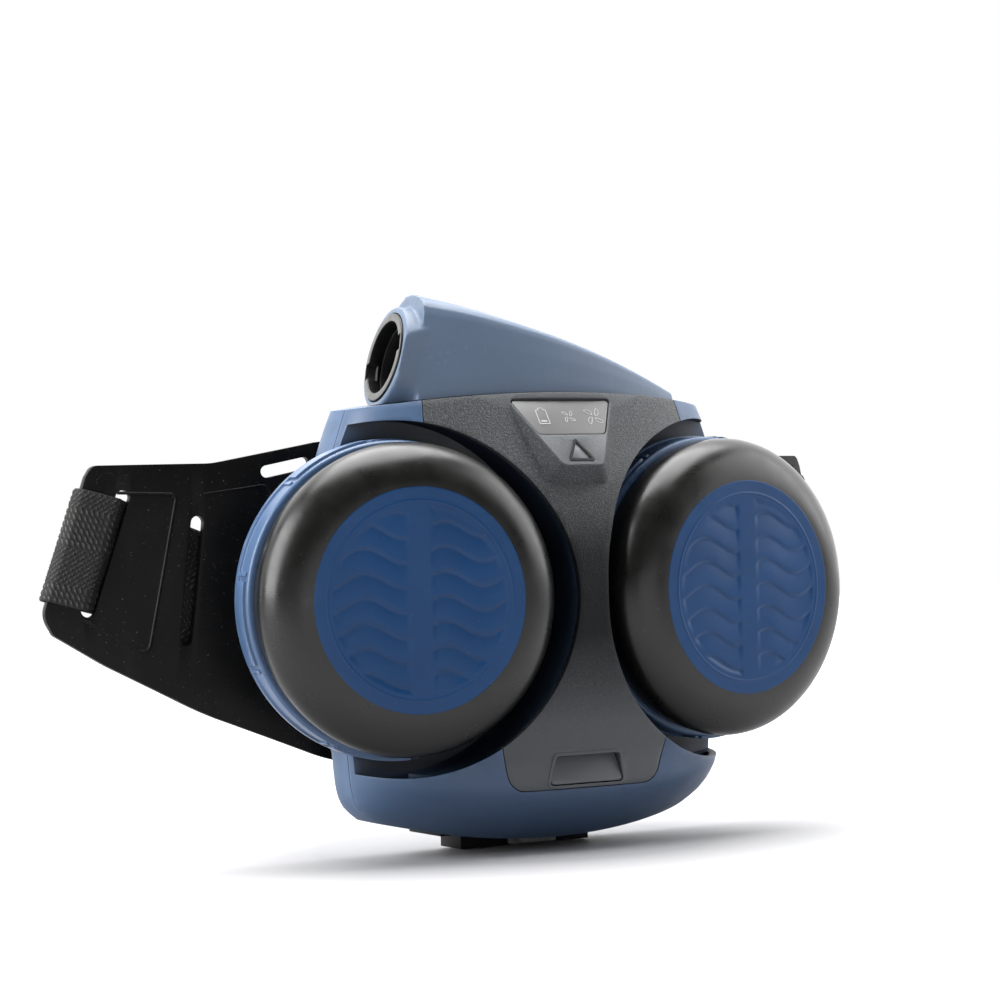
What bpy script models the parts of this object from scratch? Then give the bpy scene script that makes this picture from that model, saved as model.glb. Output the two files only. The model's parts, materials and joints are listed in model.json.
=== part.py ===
"""Belt-worn powered air respirator: fan unit, two screw-on filter cartridges, battery and belt plate.

Metres, +Z up, -Y is the side that faces away from the wearer, +X is the viewer's right.
The origin lies on the floor under the middle of the casing seam.
"""

from math import asin, cos, pi, radians, sin

import bmesh
import bpy
from mathutils import Matrix, Vector

MM = 0.001

# Filter cartridges: two turned stacks, one each side, whose faces look slightly away from each other.
FILTER_HALF_SPACING = 65.2 * MM
FILTER_FACE_Y = -40 * MM
FILTER_HEIGHT = 88 * MM
FILTER_CANT = radians(7.3)
CARTRIDGE_R = 53.5 * MM
CARTRIDGE_FRONT = 20.4 * MM
CARTRIDGE_BACK = 32 * MM
COLLAR_R = 48.4 * MM
COLLAR_FRONT = 15 * MM
MOUTH_R = 46.2 * MM
CARTRIDGE_WALL = 2.2 * MM
NECK_R = 18.5 * MM
NECK_BORE_R = 15.8 * MM
SOCKET_R = 21.4 * MM
NECK_END = 39 * MM
HOLDER_R = 52 * MM
HOLDER_CROWN_R = 36 * MM
HOLDER_RISE = 12 * MM
HOLDER_SKIRT_R = 50.8 * MM
HOLDER_WALL = 2 * MM
DISC_R = 37.25 * MM
DISC_THICK = 2.2 * MM
PAD_R = 45.4 * MM
PLEAT_COUNT = 15
PLEAT_DEPTH = 3 * MM
SPIN_STEPS = 28
GRIP_R = 54.1 * MM
GAP = 0.35 * MM

# Casing: a rounded form, wide and shallow, with a round well for each cartridge.
CASING_BOTTOM = 4 * MM
CASING_TOP = 156.5 * MM
SIDE_Y = 6 * MM
SEAM_Y = 0
WALL = 2.4 * MM
FRONT_WALL = 6.5 * MM
WELL_R = 59.5 * MM
WELL_FLOOR = 35.5 * MM
BOTTOM_CROWN = 9 * MM
TOP_CROWN = -5 * MM
FRONT_POWER = 2.6
REAR_POWER = 3.6
FORM_COLUMNS = 18
# Height, front depth at the middle, half width, back depth: one row for each level of the form.
LEVELS = [
    (4.0, -13.0, 65.0, 16.5),
    (9.0, -20.0, 69.5, 20.0),
    (15.0, -28.0, 71.6, 21.5),
    (22.0, -34.6, 72.4, 22.0),
    (30.0, -35.4, 73.0, 22.0),
    (38.0, -37.0, 76.5, 22.0),
    (54.0, -39.4, 81.5, 22.0),
    (70.0, -41.4, 84.6, 22.0),
    (88.0, -42.6, 85.4, 22.0),
    (106.0, -40.6, 84.6, 22.0),
    (122.0, -35.8, 81.5, 22.0),
    (138.0, -29.5, 76.8, 22.0),
    (147.0, -26.3, 74.0, 21.5),
    (156.5, -23.0, 71.0, 18.5),
]

# Screws: places of the two groups as (x, z), and the sizes they share.
CASING_SCREWS = [(x * MM, z * MM) for x in (-63, 63) for z in (42, 135)]
PLATE_SCREWS = [(x * MM, z * MM) for x in (-48, 48) for z in (52, 126)]
SHANK_R = 1.6 * MM
HEAD_R = 3.3 * MM
HEAD_HIGH = 2.2 * MM
SCREW_HOLE_R = 1.9 * MM
BOSS_R = 4 * MM

# Centre panel, its raised control island and its badge.
PANEL_THICK = 2.6 * MM
PANEL_HALF_TOP = 50.3 * MM
PANEL_NEAR = -100 * MM
PANEL_FAR = -10 * MM
ISLAND_TILT = radians(33.6)
ISLAND_ORIGIN = Vector((0, -30.4 * MM, 142.75 * MM))
KEY_THICK = 1.6 * MM
KEY_SINK = 0.2 * MM
KEY_TRAVEL = 0.6 * MM
KEY_MIDDLE = 6 * MM
STEM_R = 2.2 * MM
BOARD_DEPTH = 12.2 * MM
BOARD_THICK = 1.6 * MM

# Outlet: the hose spout on the wearer's left of the top cover.
OUTLET_CENTRE = Vector((-53.7 * MM, 2.5 * MM, 169.4 * MM))
OUTLET_AXIS = Vector((-0.957, 0.138, 0.256)).normalized()
OUTLET_RING_R = 15.4 * MM
OUTLET_BORE_R = 12.6 * MM
OUTLET_TUBE_R = 17.7 * MM
OUTLET_FLARE_R = 19.4 * MM
OUTLET_STAND = 7.5 * MM

# Fan, about an axis along Y.
FAN_Z = 116 * MM
IMPELLER_R = 26 * MM
IMPELLER_BLADES = 11
SCROLL_START_R = 28.5 * MM
SCROLL_END_R = 34.5 * MM
SCROLL_FRONT = 1.2 * MM
SCROLL_BACK = 17.8 * MM

# Battery: four cells in a case that slides up into the back of the casing.
CELL_R = 9.1 * MM
CELL_LENGTH = 62 * MM
CELL_BOTTOM = 8.4 * MM
CELL_PITCH = 18.7 * MM
BATTERY_HALF_WIDTH = 38.4 * MM
BATTERY_FRONT = -1.6 * MM
BATTERY_BACK = 19.1 * MM
BATTERY_TOP = 73.5 * MM
FOOT_HALF_WIDTH = 26 * MM
FOOT_FRONT = 6.3 * MM
FOOT_BACK = 20.5 * MM

# Belt plate with a wing each side, and the webbing looped through the wing ends.
PLATE_Y = 22.5 * MM
PLATE_THICK = 2.5 * MM
PLATE_FLAT = 60 * MM
PLATE_CURVE = 2.3
SLIT_X = 144 * MM
SLIT_Z = 105.2 * MM
STRAP_TILT = radians(17)
STRAP_WIDTH = 39 * MM
STRAP_THICK = 1.6 * MM
BAR_WIDTH = 11 * MM
BUCKLE_Z = 74 * MM
BUCKLE_Y = 31 * MM
PRONG_PIVOT = (10 * MM, 11 * MM)

COLOURS = {
    "casing_blue": ((0.075, 0.125, 0.215), 0.45, 0.0),
    "filter_blue": ((0.045, 0.105, 0.26), 0.4, 0.0),
    "panel_grey": ((0.10, 0.115, 0.13), 0.55, 0.0),
    "key_grey": ((0.33, 0.33, 0.34), 0.35, 0.0),
    "holder_black": ((0.02, 0.02, 0.019), 0.38, 0.0),
    "plate_black": ((0.01, 0.01, 0.01), 0.4, 0.0),
    "webbing_black": ((0.03, 0.03, 0.03), 0.9, 0.0),
    "rubber_black": ((0.015, 0.015, 0.015), 0.8, 0.0),
    "lens_amber": ((0.5, 0.25, 0.05), 0.2, 0.0),
    "pad_white": ((0.8, 0.8, 0.78), 0.95, 0.0),
    "steel": ((0.55, 0.55, 0.56), 0.3, 1.0),
    "fan_white": ((0.7, 0.7, 0.68), 0.5, 0.0),
    "board_green": ((0.02, 0.15, 0.06), 0.5, 0.0),
    "cell_blue": ((0.05, 0.2, 0.35), 0.35, 0.0),
}


def clear_scene():
    for obj in list(bpy.data.objects):
        bpy.data.objects.remove(obj)


def make_collection(name):
    made = bpy.data.collections.new(name)
    bpy.context.scene.collection.children.link(made)
    return made


def material(name):
    """The Principled material of this name, made the first time it is asked for."""
    if name in bpy.data.materials:
        return bpy.data.materials[name]
    made = bpy.data.materials.new(name)
    made.use_nodes = True
    colour, roughness, metallic = COLOURS[name]
    shader = made.node_tree.nodes["Principled BSDF"]
    shader.inputs["Base Color"].default_value = (*colour, 1)
    shader.inputs["Roughness"].default_value = roughness
    shader.inputs["Metallic"].default_value = metallic
    made.diffuse_color = (*colour, 1)
    return made


def from_bmesh(name, shape, look=None, parent=None):
    """A new object: a part with its own copy of a material, or a helper when no look is given."""
    bmesh.ops.recalc_face_normals(shape, faces=shape.faces)
    mesh = bpy.data.meshes.new(name)
    shape.to_mesh(mesh)
    shape.free()
    obj = bpy.data.objects.new(name, mesh)
    dress(obj, look)
    if parent:
        obj.parent = parent
    return obj


def dress(obj, look):
    if look is None:
        CUTTERS.objects.link(obj)
        obj.hide_render = True
        obj.display_type = "WIRE"
        return
    PARTS.objects.link(obj)
    own = material(look).copy()
    own.name = obj.name
    obj.data.materials.append(own)


def axis_empty(name, matrix):
    empty = bpy.data.objects.new(name, None)
    empty.matrix_world = matrix
    empty.empty_display_size = 0.01
    PARTS.objects.link(empty)
    return empty


def boolean(obj, other, operation):
    modifier = obj.modifiers.new(f"{operation.lower()}_{other.name}", "BOOLEAN")
    modifier.object = other
    modifier.operation = operation
    modifier.solver = "EXACT"


def cut(obj, *others):
    for other in others:
        boolean(obj, other, "DIFFERENCE")


def join(obj, *others):
    for other in others:
        boolean(obj, other, "UNION")


def keep(obj, other):
    boolean(obj, other, "INTERSECT")


def bevel(obj, width, segments=2, angle=35):
    modifier = obj.modifiers.new("edge", "BEVEL")
    modifier.width = width
    modifier.segments = segments
    modifier.limit_method = "ANGLE"
    modifier.angle_limit = radians(angle)


def box(name, low, high, look=None, parent=None):
    """A box between two corners given in millimetres."""
    low, high = Vector(low) * MM, Vector(high) * MM
    shape = bmesh.new()
    bmesh.ops.create_cube(shape, size=1)
    size = Matrix.Diagonal((*(high - low), 1))
    bmesh.ops.transform(shape, matrix=Matrix.Translation((low + high) / 2) @ size, verts=shape.verts)
    return from_bmesh(name, shape, look, parent)


def cylinder(name, start, direction, length, r, look=None, sides=24, parent=None):
    """A cylinder from a point in metres, along a direction."""
    shape = bmesh.new()
    bmesh.ops.create_cone(shape, cap_ends=True, segments=sides, radius1=r, radius2=r, depth=length)
    turn = Vector(direction).to_track_quat("Z", "Y").to_matrix().to_4x4()
    place = Matrix.Translation(start) @ turn @ Matrix.Translation((0, 0, length / 2))
    bmesh.ops.transform(shape, matrix=place, verts=shape.verts)
    return from_bmesh(name, shape, look, parent)


def turned(name, profile, look=None, parent=None, matrix=None, steps=SPIN_STEPS):
    """A ring turned about local Z from a closed profile of (radius, height), outer side downwards."""
    mesh = bpy.data.meshes.new(name)
    points = [(r, 0, z) for r, z in profile]
    count = len(points)
    mesh.from_pydata(points, [(i, (i + 1) % count) for i in range(count)], [])
    return spin(name, mesh, look, parent, matrix, steps)


def turned_solid(name, profile, look=None, parent=None, matrix=None, steps=SPIN_STEPS):
    """As turned, for an open profile whose first and last points lie on the axis."""
    mesh = bpy.data.meshes.new(name)
    points = [(r, 0, z) for r, z in profile]
    mesh.from_pydata(points, [(i, i + 1) for i in range(len(points) - 1)], [])
    return spin(name, mesh, look, parent, matrix, steps)


def spin(name, mesh, look, parent, matrix, steps):
    obj = bpy.data.objects.new(name, mesh)
    dress(obj, look)
    if parent:
        obj.parent = parent
    if matrix:
        obj.matrix_local = matrix
    screw = obj.modifiers.new("turn", "SCREW")
    screw.axis = "Z"
    screw.angle = 2 * pi
    screw.steps = steps
    screw.render_steps = steps
    screw.use_merge_vertices = True
    screw.merge_threshold = 1e-6
    screw.use_normal_calculate = False
    return obj


def prism(name, outline, near, far, look=None, matrix=None, parent=None):
    """An outline of (x, z) extruded along Y from near to far, then moved by the matrix."""
    shape = bmesh.new()
    face = shape.faces.new([shape.verts.new((x, near, z)) for x, z in outline])
    grown = bmesh.ops.extrude_face_region(shape, geom=[face])
    moved = [item for item in grown["geom"] if isinstance(item, bmesh.types.BMVert)]
    bmesh.ops.translate(shape, verts=moved, vec=(0, far - near, 0))
    if matrix:
        bmesh.ops.transform(shape, matrix=matrix, verts=shape.verts)
    return from_bmesh(name, shape, look, parent)


def rounded(corners, steps=4):
    """An outline in metres from corners of (x, z, radius) in millimetres, with an arc at each corner."""
    outline = []
    count = len(corners)
    for i, (x, z, radius) in enumerate(corners):
        here = Vector((x, z)) * MM
        before = Vector(corners[i - 1][:2]) * MM
        after = Vector(corners[(i + 1) % count][:2]) * MM
        if radius == 0:
            outline.append(tuple(here))
            continue
        back = (before - here).normalized()
        ahead = (after - here).normalized()
        half = back.angle(ahead) / 2
        middle = here + (back + ahead).normalized() * (radius * MM / sin(half))
        start = here + back * (radius * MM * cos(half) / sin(half)) - middle
        end = here + ahead * (radius * MM * cos(half) / sin(half)) - middle
        sweep = start.angle_signed(end)
        for k in range(steps + 1):
            turned_by = Matrix.Rotation(-sweep * k / steps, 2)
            outline.append(tuple(middle + turned_by @ start))
    return outline


def mirrored(half):
    """A closed list of corners from its right half, listed top to bottom."""
    return half + [(-x, z, r) for x, z, r in reversed(half)]


def side_name(side):
    return "left" if side < 0 else "right"


# ---------------------------------------------------------------- casing


def form_row(height, front, half, back, inset, front_inset):
    """One closed level of the casing form: a blunt front curve and a squarer back curve."""
    half = (half - inset / MM) * MM
    front = front * MM + front_inset
    back = back * MM - inset
    share = (height * MM - CASING_BOTTOM) / (CASING_TOP - CASING_BOTTOM)
    crown = BOTTOM_CROWN * (1 - share) ** 2 + TOP_CROWN * share ** 4
    span = CASING_TOP - CASING_BOTTOM - 2 * inset
    level = CASING_BOTTOM + inset + share * span
    near, far = [], []
    for i in range(FORM_COLUMNS + 1):
        across = -cos(pi * i / FORM_COLUMNS)
        x = half * across
        z = level + crown * across ** 2
        bulge = (1 - abs(across) ** FRONT_POWER) ** (1 / FRONT_POWER)
        near.append((x, SIDE_Y - (SIDE_Y - front) * bulge, z))
        far.append((x, SIDE_Y + (back - SIDE_Y) * (1 - abs(across) ** REAR_POWER) ** (1 / REAR_POWER), z))
    return near, far


def casing_form(name, inset, front_inset, look=None):
    """The casing's outer form, or a copy of it shrunk by the insets, as a loft through its levels."""
    shape = bmesh.new()
    rows = []
    for height, front, half, back in LEVELS:
        near, far = form_row(height, front, half, back, inset, front_inset)
        near_verts = [shape.verts.new(point) for point in near]
        far_verts = [near_verts[0]] + [shape.verts.new(point) for point in far[1:-1]] + [near_verts[-1]]
        rows.append((near_verts, far_verts))
    for lower, upper in zip(rows, rows[1:]):
        for low_line, high_line in zip(lower, upper):
            for i in range(FORM_COLUMNS):
                shape.faces.new((low_line[i], low_line[i + 1], high_line[i + 1], high_line[i]))
    for near_verts, far_verts in (rows[0], rows[-1]):
        for i in range(FORM_COLUMNS):
            corners = [near_verts[i], near_verts[i + 1], far_verts[i + 1], far_verts[i]]
            shape.faces.new(list(dict.fromkeys(corners)))
    return from_bmesh(name, shape, look)


def filter_matrix(side):
    """Local Z looks out along the cartridge's axis from the middle of its face, local Y is up."""
    out = Vector((side * sin(FILTER_CANT), -cos(FILTER_CANT), 0))
    across = Vector((cos(FILTER_CANT), side * sin(FILTER_CANT), 0))
    turn = Matrix((across, (0, 0, 1), out)).transposed().to_4x4()
    return Matrix.Translation((side * FILTER_HALF_SPACING, FILTER_FACE_Y, FILTER_HEIGHT)) @ turn


def well(name, side, r, floor):
    reach = 40 * MM
    place = filter_matrix(side)
    out = place.to_3x3() @ Vector((0, 0, 1))
    return cylinder(name, place @ Vector((0, 0, -floor)), out, floor + reach, r, sides=40)


def make_helpers():
    """Shapes that cut several parts."""
    found = {}
    for side in (-1, 1):
        found["well", side] = well(f"{side_name(side)}_well", side, WELL_R, WELL_FLOOR)
        found["wall", side] = well(f"{side_name(side)}_well_wall", side, WELL_R + WALL, WELL_FLOOR + WALL)
    core = casing_form("casing_core", WALL, FRONT_WALL)
    cut(core, found["wall", -1], found["wall", 1])
    found["core"] = core
    found["ahead"] = box("ahead_of_seam", (-200, -200, -50), (200, SEAM_Y / MM + 0.15, 300))
    found["behind"] = box("behind_seam", (-200, SEAM_Y / MM - 0.15, -50), (200, 200, 300))
    found["battery_bay"] = box("battery_bay", (-39, -2.2, -10), (39, 19.5, 74.2))
    found["air_way"] = box("air_way", (-36, -1.4, 140), (-4, 18.6, 159))
    return found


def panel_corners(grow):
    """The front panel's outline, wide at the top and the foot; the wells shape its waist."""
    half = [
        (PANEL_HALF_TOP / MM + grow, 170, 0),
        (50.6 + grow, 153, 0),
        (51.9 + grow, 144, 0),
        (51.9 + grow, 60, 0),
        (33.2 + grow, 40, 0),
        (28.6 + grow, 22.6 - grow, 7),
    ]
    return rounded(mirrored(half))


def make_casing(helpers):
    front = casing_form("front_casing", 0, 0, "casing_blue")
    rear = casing_form("rear_casing", 0, 0, "casing_blue")
    pocket = prism("panel_pocket", panel_corners(0.35), PANEL_NEAR, PANEL_FAR)
    under = casing_form("under_panel", PANEL_THICK + 0.4 * MM, PANEL_THICK + 0.4 * MM)
    cut(pocket, under)
    cut(front, helpers["well", -1], helpers["well", 1], helpers["core"])
    cut(front, helpers["behind"], pocket)
    cut(rear, helpers["core"], helpers["ahead"])
    cut(front, helpers["battery_bay"], helpers["air_way"])
    cut(rear, helpers["well", -1], helpers["well", 1], helpers["battery_bay"], helpers["air_way"])
    thin = casing_form("thin_wall", 2.2 * MM, 2.2 * MM)
    for side in (-1, 1):
        place = filter_matrix(side)
        inward = -(place.to_3x3() @ Vector((0, 0, 1)))
        start = place @ Vector((0, 0, -WELL_FLOOR + 5 * MM))
        hole = cylinder(f"{side_name(side)}_socket_hole", start, inward, 20 * MM, SOCKET_R + GAP, sides=32)
        cut(front, hole)
        cut(rear, hole)
        # The lower arm is open to the well at its outer end, inside a thin front wall.
        low, high = sorted((side * 54, side * 90))
        slot = box(f"{side_name(side)}_sill_slot", (low, -45, 21.5), (high, -8, 62))
        keep(slot, thin)
        cut(front, slot)
    return front, rear


def drill_casing(front, rear):
    """Screw bosses in the casing, and the holes that the screws pass through."""
    for number, (x, z) in enumerate(CASING_SCREWS, 1):
        boss = cylinder(f"casing_boss_{number}", (x, 2 * MM, z), (0, 1, 0), 17 * MM, BOSS_R, sides=12)
        seat_name, hole_name = f"casing_seat_{number}", f"casing_hole_{number}"
        seat = cylinder(seat_name, (x, 16.6 * MM, z), (0, 1, 0), 20 * MM, HEAD_R + 0.4 * MM, sides=12)
        hole = cylinder(hole_name, (x, -1.2 * MM, z), (0, 1, 0), 30 * MM, SCREW_HOLE_R, sides=10)
        join(rear, boss)
        cut(rear, seat, hole)
        cut(front, hole)
    for number, (x, z) in enumerate(PLATE_SCREWS, 1):
        boss = cylinder(f"plate_boss_{number}", (x, 10 * MM, z), (0, 1, 0), 11 * MM, BOSS_R, sides=12)
        hole = cylinder(f"plate_hole_{number}", (x, 9 * MM, z), (0, 1, 0), 30 * MM, SCREW_HOLE_R, sides=10)
        join(rear, boss)
        cut(rear, hole)


def screw(name, x, z, head_y, length):
    """A pan-head screw that points towards -Y."""
    profile = [(0, HEAD_HIGH), (HEAD_R * 0.7, HEAD_HIGH), (HEAD_R, HEAD_HIGH * 0.5)]
    profile += [(HEAD_R, 0), (SHANK_R, 0)]
    profile += [(SHANK_R, -length), (0, -length - SHANK_R)]
    place = Matrix.Translation((x, head_y, z)) @ Matrix.Rotation(radians(-90), 4, "X")
    turned_solid(name, profile, "steel", matrix=place, steps=10)


def make_screws():
    for number, (x, z) in enumerate(CASING_SCREWS, 1):
        screw(f"casing_screw_{number}", x, z, 17 * MM, 17 * MM)
    for number, (x, z) in enumerate(PLATE_SCREWS, 1):
        screw(f"belt_plate_screw_{number}", x, z, PLATE_Y + PLATE_THICK + 0.3 * MM, 14 * MM)


# ---------------------------------------------------------------- front panel


def island_matrix():
    """The control island's own frame: outlines are drawn in its X and Z, and -Y looks out of it."""
    across = Vector((1, 0, 0))
    inward = Vector((0, cos(ISLAND_TILT), -sin(ISLAND_TILT)))
    up = Vector((0, sin(ISLAND_TILT), cos(ISLAND_TILT)))
    return Matrix.Translation(ISLAND_ORIGIN) @ Matrix((across, inward, up)).transposed().to_4x4()


def island_half(v):
    """Half the width of the island's face, in millimetres, at a height above its middle."""
    return 14.6 + 0.5 * v


def key_corners(grow):
    low, high = -0.9 - grow, 13.2 + grow
    half = [
        (island_half(high) - 1.2 + grow, high, 1.2),
        (island_half(low) - 0.9 + grow, low, 2.6),
    ]
    return rounded(mirrored(half), 3)


def lens_corners(grow):
    """A triangle that stands on its base, grown by a gap on every side."""
    half, low, high = 4 + 1.7 * grow, -11.2 - grow, -4.2 + 2 * grow
    return rounded([(0, high, 0.6), (half, low, 0.6), (-half, low, 0.6)], 2)


def make_island():
    """A raised block whose flat face carries the key, with sides that slope out to the panel."""
    low, high, deep, spread = -13.6, 16.5, 9.0, 7.0
    face = rounded(mirrored([(island_half(high), high, 0), (island_half(low), low, 2.5)]))
    foot = spread * 0.75
    root_half = [(island_half(high) + spread, high, 0), (island_half(low) + foot, low - foot, 4)]
    root = rounded(mirrored(root_half))
    shape = bmesh.new()
    near = [shape.verts.new((x, 0, z)) for x, z in face]
    far = [shape.verts.new((x, deep * MM, z)) for x, z in root]
    count = len(near)
    for i in range(count):
        k = (i + 1) % count
        shape.faces.new((near[i], near[k], far[k], far[i]))
    shape.faces.new(near)
    shape.faces.new(far)
    bmesh.ops.transform(shape, matrix=island_matrix(), verts=shape.verts)
    return from_bmesh("island_block", shape)


def make_panel(helpers, front):
    panel = casing_form("centre_panel", 0, 0, "panel_grey")
    outline = prism("panel_outline", panel_corners(0), PANEL_NEAR, PANEL_FAR)
    inside = casing_form("inside_panel", PANEL_THICK, PANEL_THICK)
    island = make_island()
    above = casing_form("above_island", 0, -30 * MM)
    keep(panel, outline)
    keep(island, above)
    join(panel, island)
    cut(panel, inside, helpers["well", -1], helpers["well", 1])
    frame = island_matrix()
    key_hole = prism("key_hole", key_corners(GAP / MM), -0.01, 2.9 * MM, matrix=frame)
    lens_hole = prism("lens_hole", lens_corners(0.25), -0.01, 1.4 * MM, matrix=frame)
    start, inward = frame @ Vector((0, 0, KEY_MIDDLE)), frame.to_3x3() @ Vector((0, 1, 0))
    stem_hole = cylinder("stem_hole", start, inward, 11.6 * MM, STEM_R + 0.6 * MM, sides=16)
    badge_hole = prism("badge_hole", badge_corners(0.3), -60 * MM, -31 * MM)
    cut(panel, key_hole, lens_hole, stem_hole, badge_hole)
    cut(front, stem_hole, badge_hole)
    prism("warning_lens", lens_corners(0), 0.1 * MM, 1.1 * MM, "lens_amber", frame)
    make_badge()
    make_key(frame)
    make_board(frame)


def badge_corners(grow):
    half = [(12.2 + grow, 33.4 + grow, 1.2), (14.6 + grow, 24 - grow, 1.4)]
    return rounded(mirrored(half), 3)


def make_badge():
    """A blank name plate: flush at its lower edge and sunk at its upper one."""
    lean = Matrix.Translation((0, -33.7 * MM, 28.7 * MM)) @ Matrix.Rotation(radians(-9), 4, "X")
    shift = lean @ Matrix.Translation((0, 0, -28.7 * MM))
    prism("name_badge", badge_corners(0), -0.6 * MM, 0.6 * MM, "panel_grey", shift)


def make_key(frame):
    mount = axis_empty("key_axis", frame)
    key = prism("control_key", key_corners(0), KEY_SINK, KEY_SINK + KEY_THICK, "key_grey", parent=mount)
    top = Vector((0, KEY_SINK + KEY_THICK / 2, KEY_MIDDLE))
    length = BOARD_DEPTH - KEY_SINK - KEY_THICK / 2 - KEY_TRAVEL - 0.2 * MM
    stem = cylinder("key_stem", top, (0, 1, 0), length, STEM_R, sides=16, parent=mount)
    join(key, stem)


def make_board(frame):
    low, high = -5 * MM, 11 * MM
    outline = [(-16 * MM, low), (16 * MM, low), (16 * MM, high), (-16 * MM, high)]
    prism("control_board", outline, BOARD_DEPTH, BOARD_DEPTH + BOARD_THICK, "board_green", frame)


# ---------------------------------------------------------------- outlet


def cover_ridge(x):
    """Height of the top cover's ridge in millimetres: high at the spout and falling to the far arm."""
    along = x + 47
    return 190.2 - 0.17 * along - 0.00155 * along ** 2


def casing_top_at(x):
    return 156.5 - 5 * (x / 71.5) ** 2


def cover_section(x, inset):
    """One closed section of the top cover in (x, y, z): a steep front, a crowned top, a sloping back."""
    floor = casing_top_at(x) - 4
    front = -20.6 + 0.0023 * x ** 2 + inset
    back = 19.0 - inset
    rise = max(cover_ridge(x) - inset - floor, 0.6)
    shares = [(0, 0), (0, 0.84), (0.02, 0.885), (0.07, 0.92), (0.22, 0.965)]
    shares += [(0.45, 1.0), (0.68, 0.96), (0.86, 0.84)]
    shares += [(0.97, 0.66), (1, 0.5), (1, 0)]
    lean = 1 if x < -40 else 0
    points = []
    for across, up in shares:
        y = front + across * (back - front)
        z = floor + up * rise
        shift = lean * (0.126 * (z - 154) + 0.14 * (y + 16))
        points.append(((x + shift) * MM, y * MM, z * MM))
    return points


def cover_form(name, inset, drop=0, look=None):
    """The cover as a loft along X, or a copy of it shrunk by the inset and lowered by the drop."""
    stations = [-51 + inset, -38, -24, -10, 4, 18, 30, 40, 48, 53.5 - inset]
    shape = bmesh.new()
    rows = [[shape.verts.new(point) for point in cover_section(x, inset)] for x in stations]
    count = len(rows[0])
    for first, second in zip(rows, rows[1:]):
        for i in range(count):
            k = (i + 1) % count
            shape.faces.new((first[i], first[k], second[k], second[i]))
    shape.faces.new(rows[0])
    shape.faces.new(rows[-1])
    bmesh.ops.translate(shape, verts=shape.verts, vec=(0, 0, -drop * MM))
    return from_bmesh(name, shape, look)


def outlet_matrix():
    turn = OUTLET_AXIS.to_track_quat("Z", "Y").to_matrix().to_4x4()
    return Matrix.Translation(OUTLET_CENTRE) @ turn


def make_outlet(helpers, front, rear):
    cover = cover_form("outlet_cover", 0, look="casing_blue")
    hollow = cover_form("cover_hollow", WALL / MM, drop=3)
    place = outlet_matrix()
    flare = [(0, 0), (OUTLET_TUBE_R - MM, 0), (OUTLET_TUBE_R, -MM)]
    root = -OUTLET_STAND - 8 * MM
    flare += [(OUTLET_FLARE_R, -OUTLET_STAND), (OUTLET_FLARE_R, root), (0, root)]
    spout = turned_solid("spout_flare", flare, matrix=place, steps=32)
    bore_r = OUTLET_RING_R + GAP
    profile = [(0, 2 * MM), (bore_r, 2 * MM), (bore_r, -16 * MM), (0, -16 * MM)]
    bore = turned_solid("spout_bore", profile, matrix=place, steps=32)
    cap = casing_form("casing_cap", -0.35 * MM, -0.35 * MM)
    join(cover, spout)
    cut(cover, hollow, bore, cap, helpers["air_way"])
    cut(front, bore)
    cut(rear, bore)
    make_collar(place)


def make_collar(place):
    """The hose collar: a ring with two notches for the hose's bayonet lugs, and its rubber seal."""
    length = 12 * MM
    ring = [(OUTLET_BORE_R, 0.6 * MM), (OUTLET_RING_R, 0.6 * MM)]
    ring += [(OUTLET_RING_R, -length), (OUTLET_BORE_R, -length)]
    collar = turned("outlet_collar", ring, "holder_black", matrix=place, steps=36)
    for number, turn in enumerate((20, 200), 1):
        notch = box(f"collar_notch_{number}", (0, -3, -5), (14.4, 3, 2))
        notch.matrix_world = place @ Matrix.Rotation(radians(turn), 4, "Z")
        cut(collar, notch)
    seal_r = OUTLET_RING_R - 0.2 * MM
    seal = [(OUTLET_BORE_R + 0.3 * MM, -length - 0.3 * MM), (seal_r, -length - 0.3 * MM)]
    seal += [(seal_r, -length - 2.3 * MM), (OUTLET_BORE_R + 0.3 * MM, -length - 2.3 * MM)]
    turned("outlet_seal", seal, "rubber_black", matrix=place)


# ---------------------------------------------------------------- filters


def arc(centre_r, centre_z, wide, high, first, last, steps):
    """Points of a quarter ellipse, by angle in degrees from the radial direction."""
    found = []
    for k in range(steps + 1):
        angle = radians(first + (last - first) * k / steps)
        found.append((centre_r + wide * cos(angle), centre_z + high * sin(angle)))
    return found


def make_filter(side):
    name = side_name(side)
    mount = axis_empty(f"{name}_filter_axis", filter_matrix(side))
    housing = [(MOUTH_R, -COLLAR_FRONT), (COLLAR_R, -COLLAR_FRONT), (COLLAR_R, -CARTRIDGE_FRONT)]
    housing += [(CARTRIDGE_R, -CARTRIDGE_FRONT), (CARTRIDGE_R, -CARTRIDGE_BACK + 1.5 * MM)]
    housing += [(CARTRIDGE_R - 1.5 * MM, -CARTRIDGE_BACK), (NECK_R, -CARTRIDGE_BACK), (NECK_R, -NECK_END)]
    housing += [(NECK_BORE_R, -NECK_END), (NECK_BORE_R, -CARTRIDGE_BACK + CARTRIDGE_WALL)]
    inner = CARTRIDGE_R - CARTRIDGE_WALL
    housing += [(inner, -CARTRIDGE_BACK + CARTRIDGE_WALL), (inner, -CARTRIDGE_FRONT - CARTRIDGE_WALL)]
    housing += [(MOUTH_R, -CARTRIDGE_FRONT - CARTRIDGE_WALL)]
    shell = turned(f"{name}_filter_housing", housing, "filter_blue", mount)
    near, far = sorted((side * 60, side * 45))
    grip = box(f"{name}_grip_block", (near, -18, -30), (far, 10, -22), parent=mount)
    inside_r = CARTRIDGE_R - 0.9 * MM
    band = [(inside_r, 0), (GRIP_R, 0), (GRIP_R, -40 * MM), (inside_r, -40 * MM)]
    ring = turned(f"{name}_grip_cut", band, parent=mount)
    keep(grip, ring)
    join(shell, grip)
    make_media(name, mount)
    make_holder(name, mount)
    make_socket(name, mount)


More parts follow.
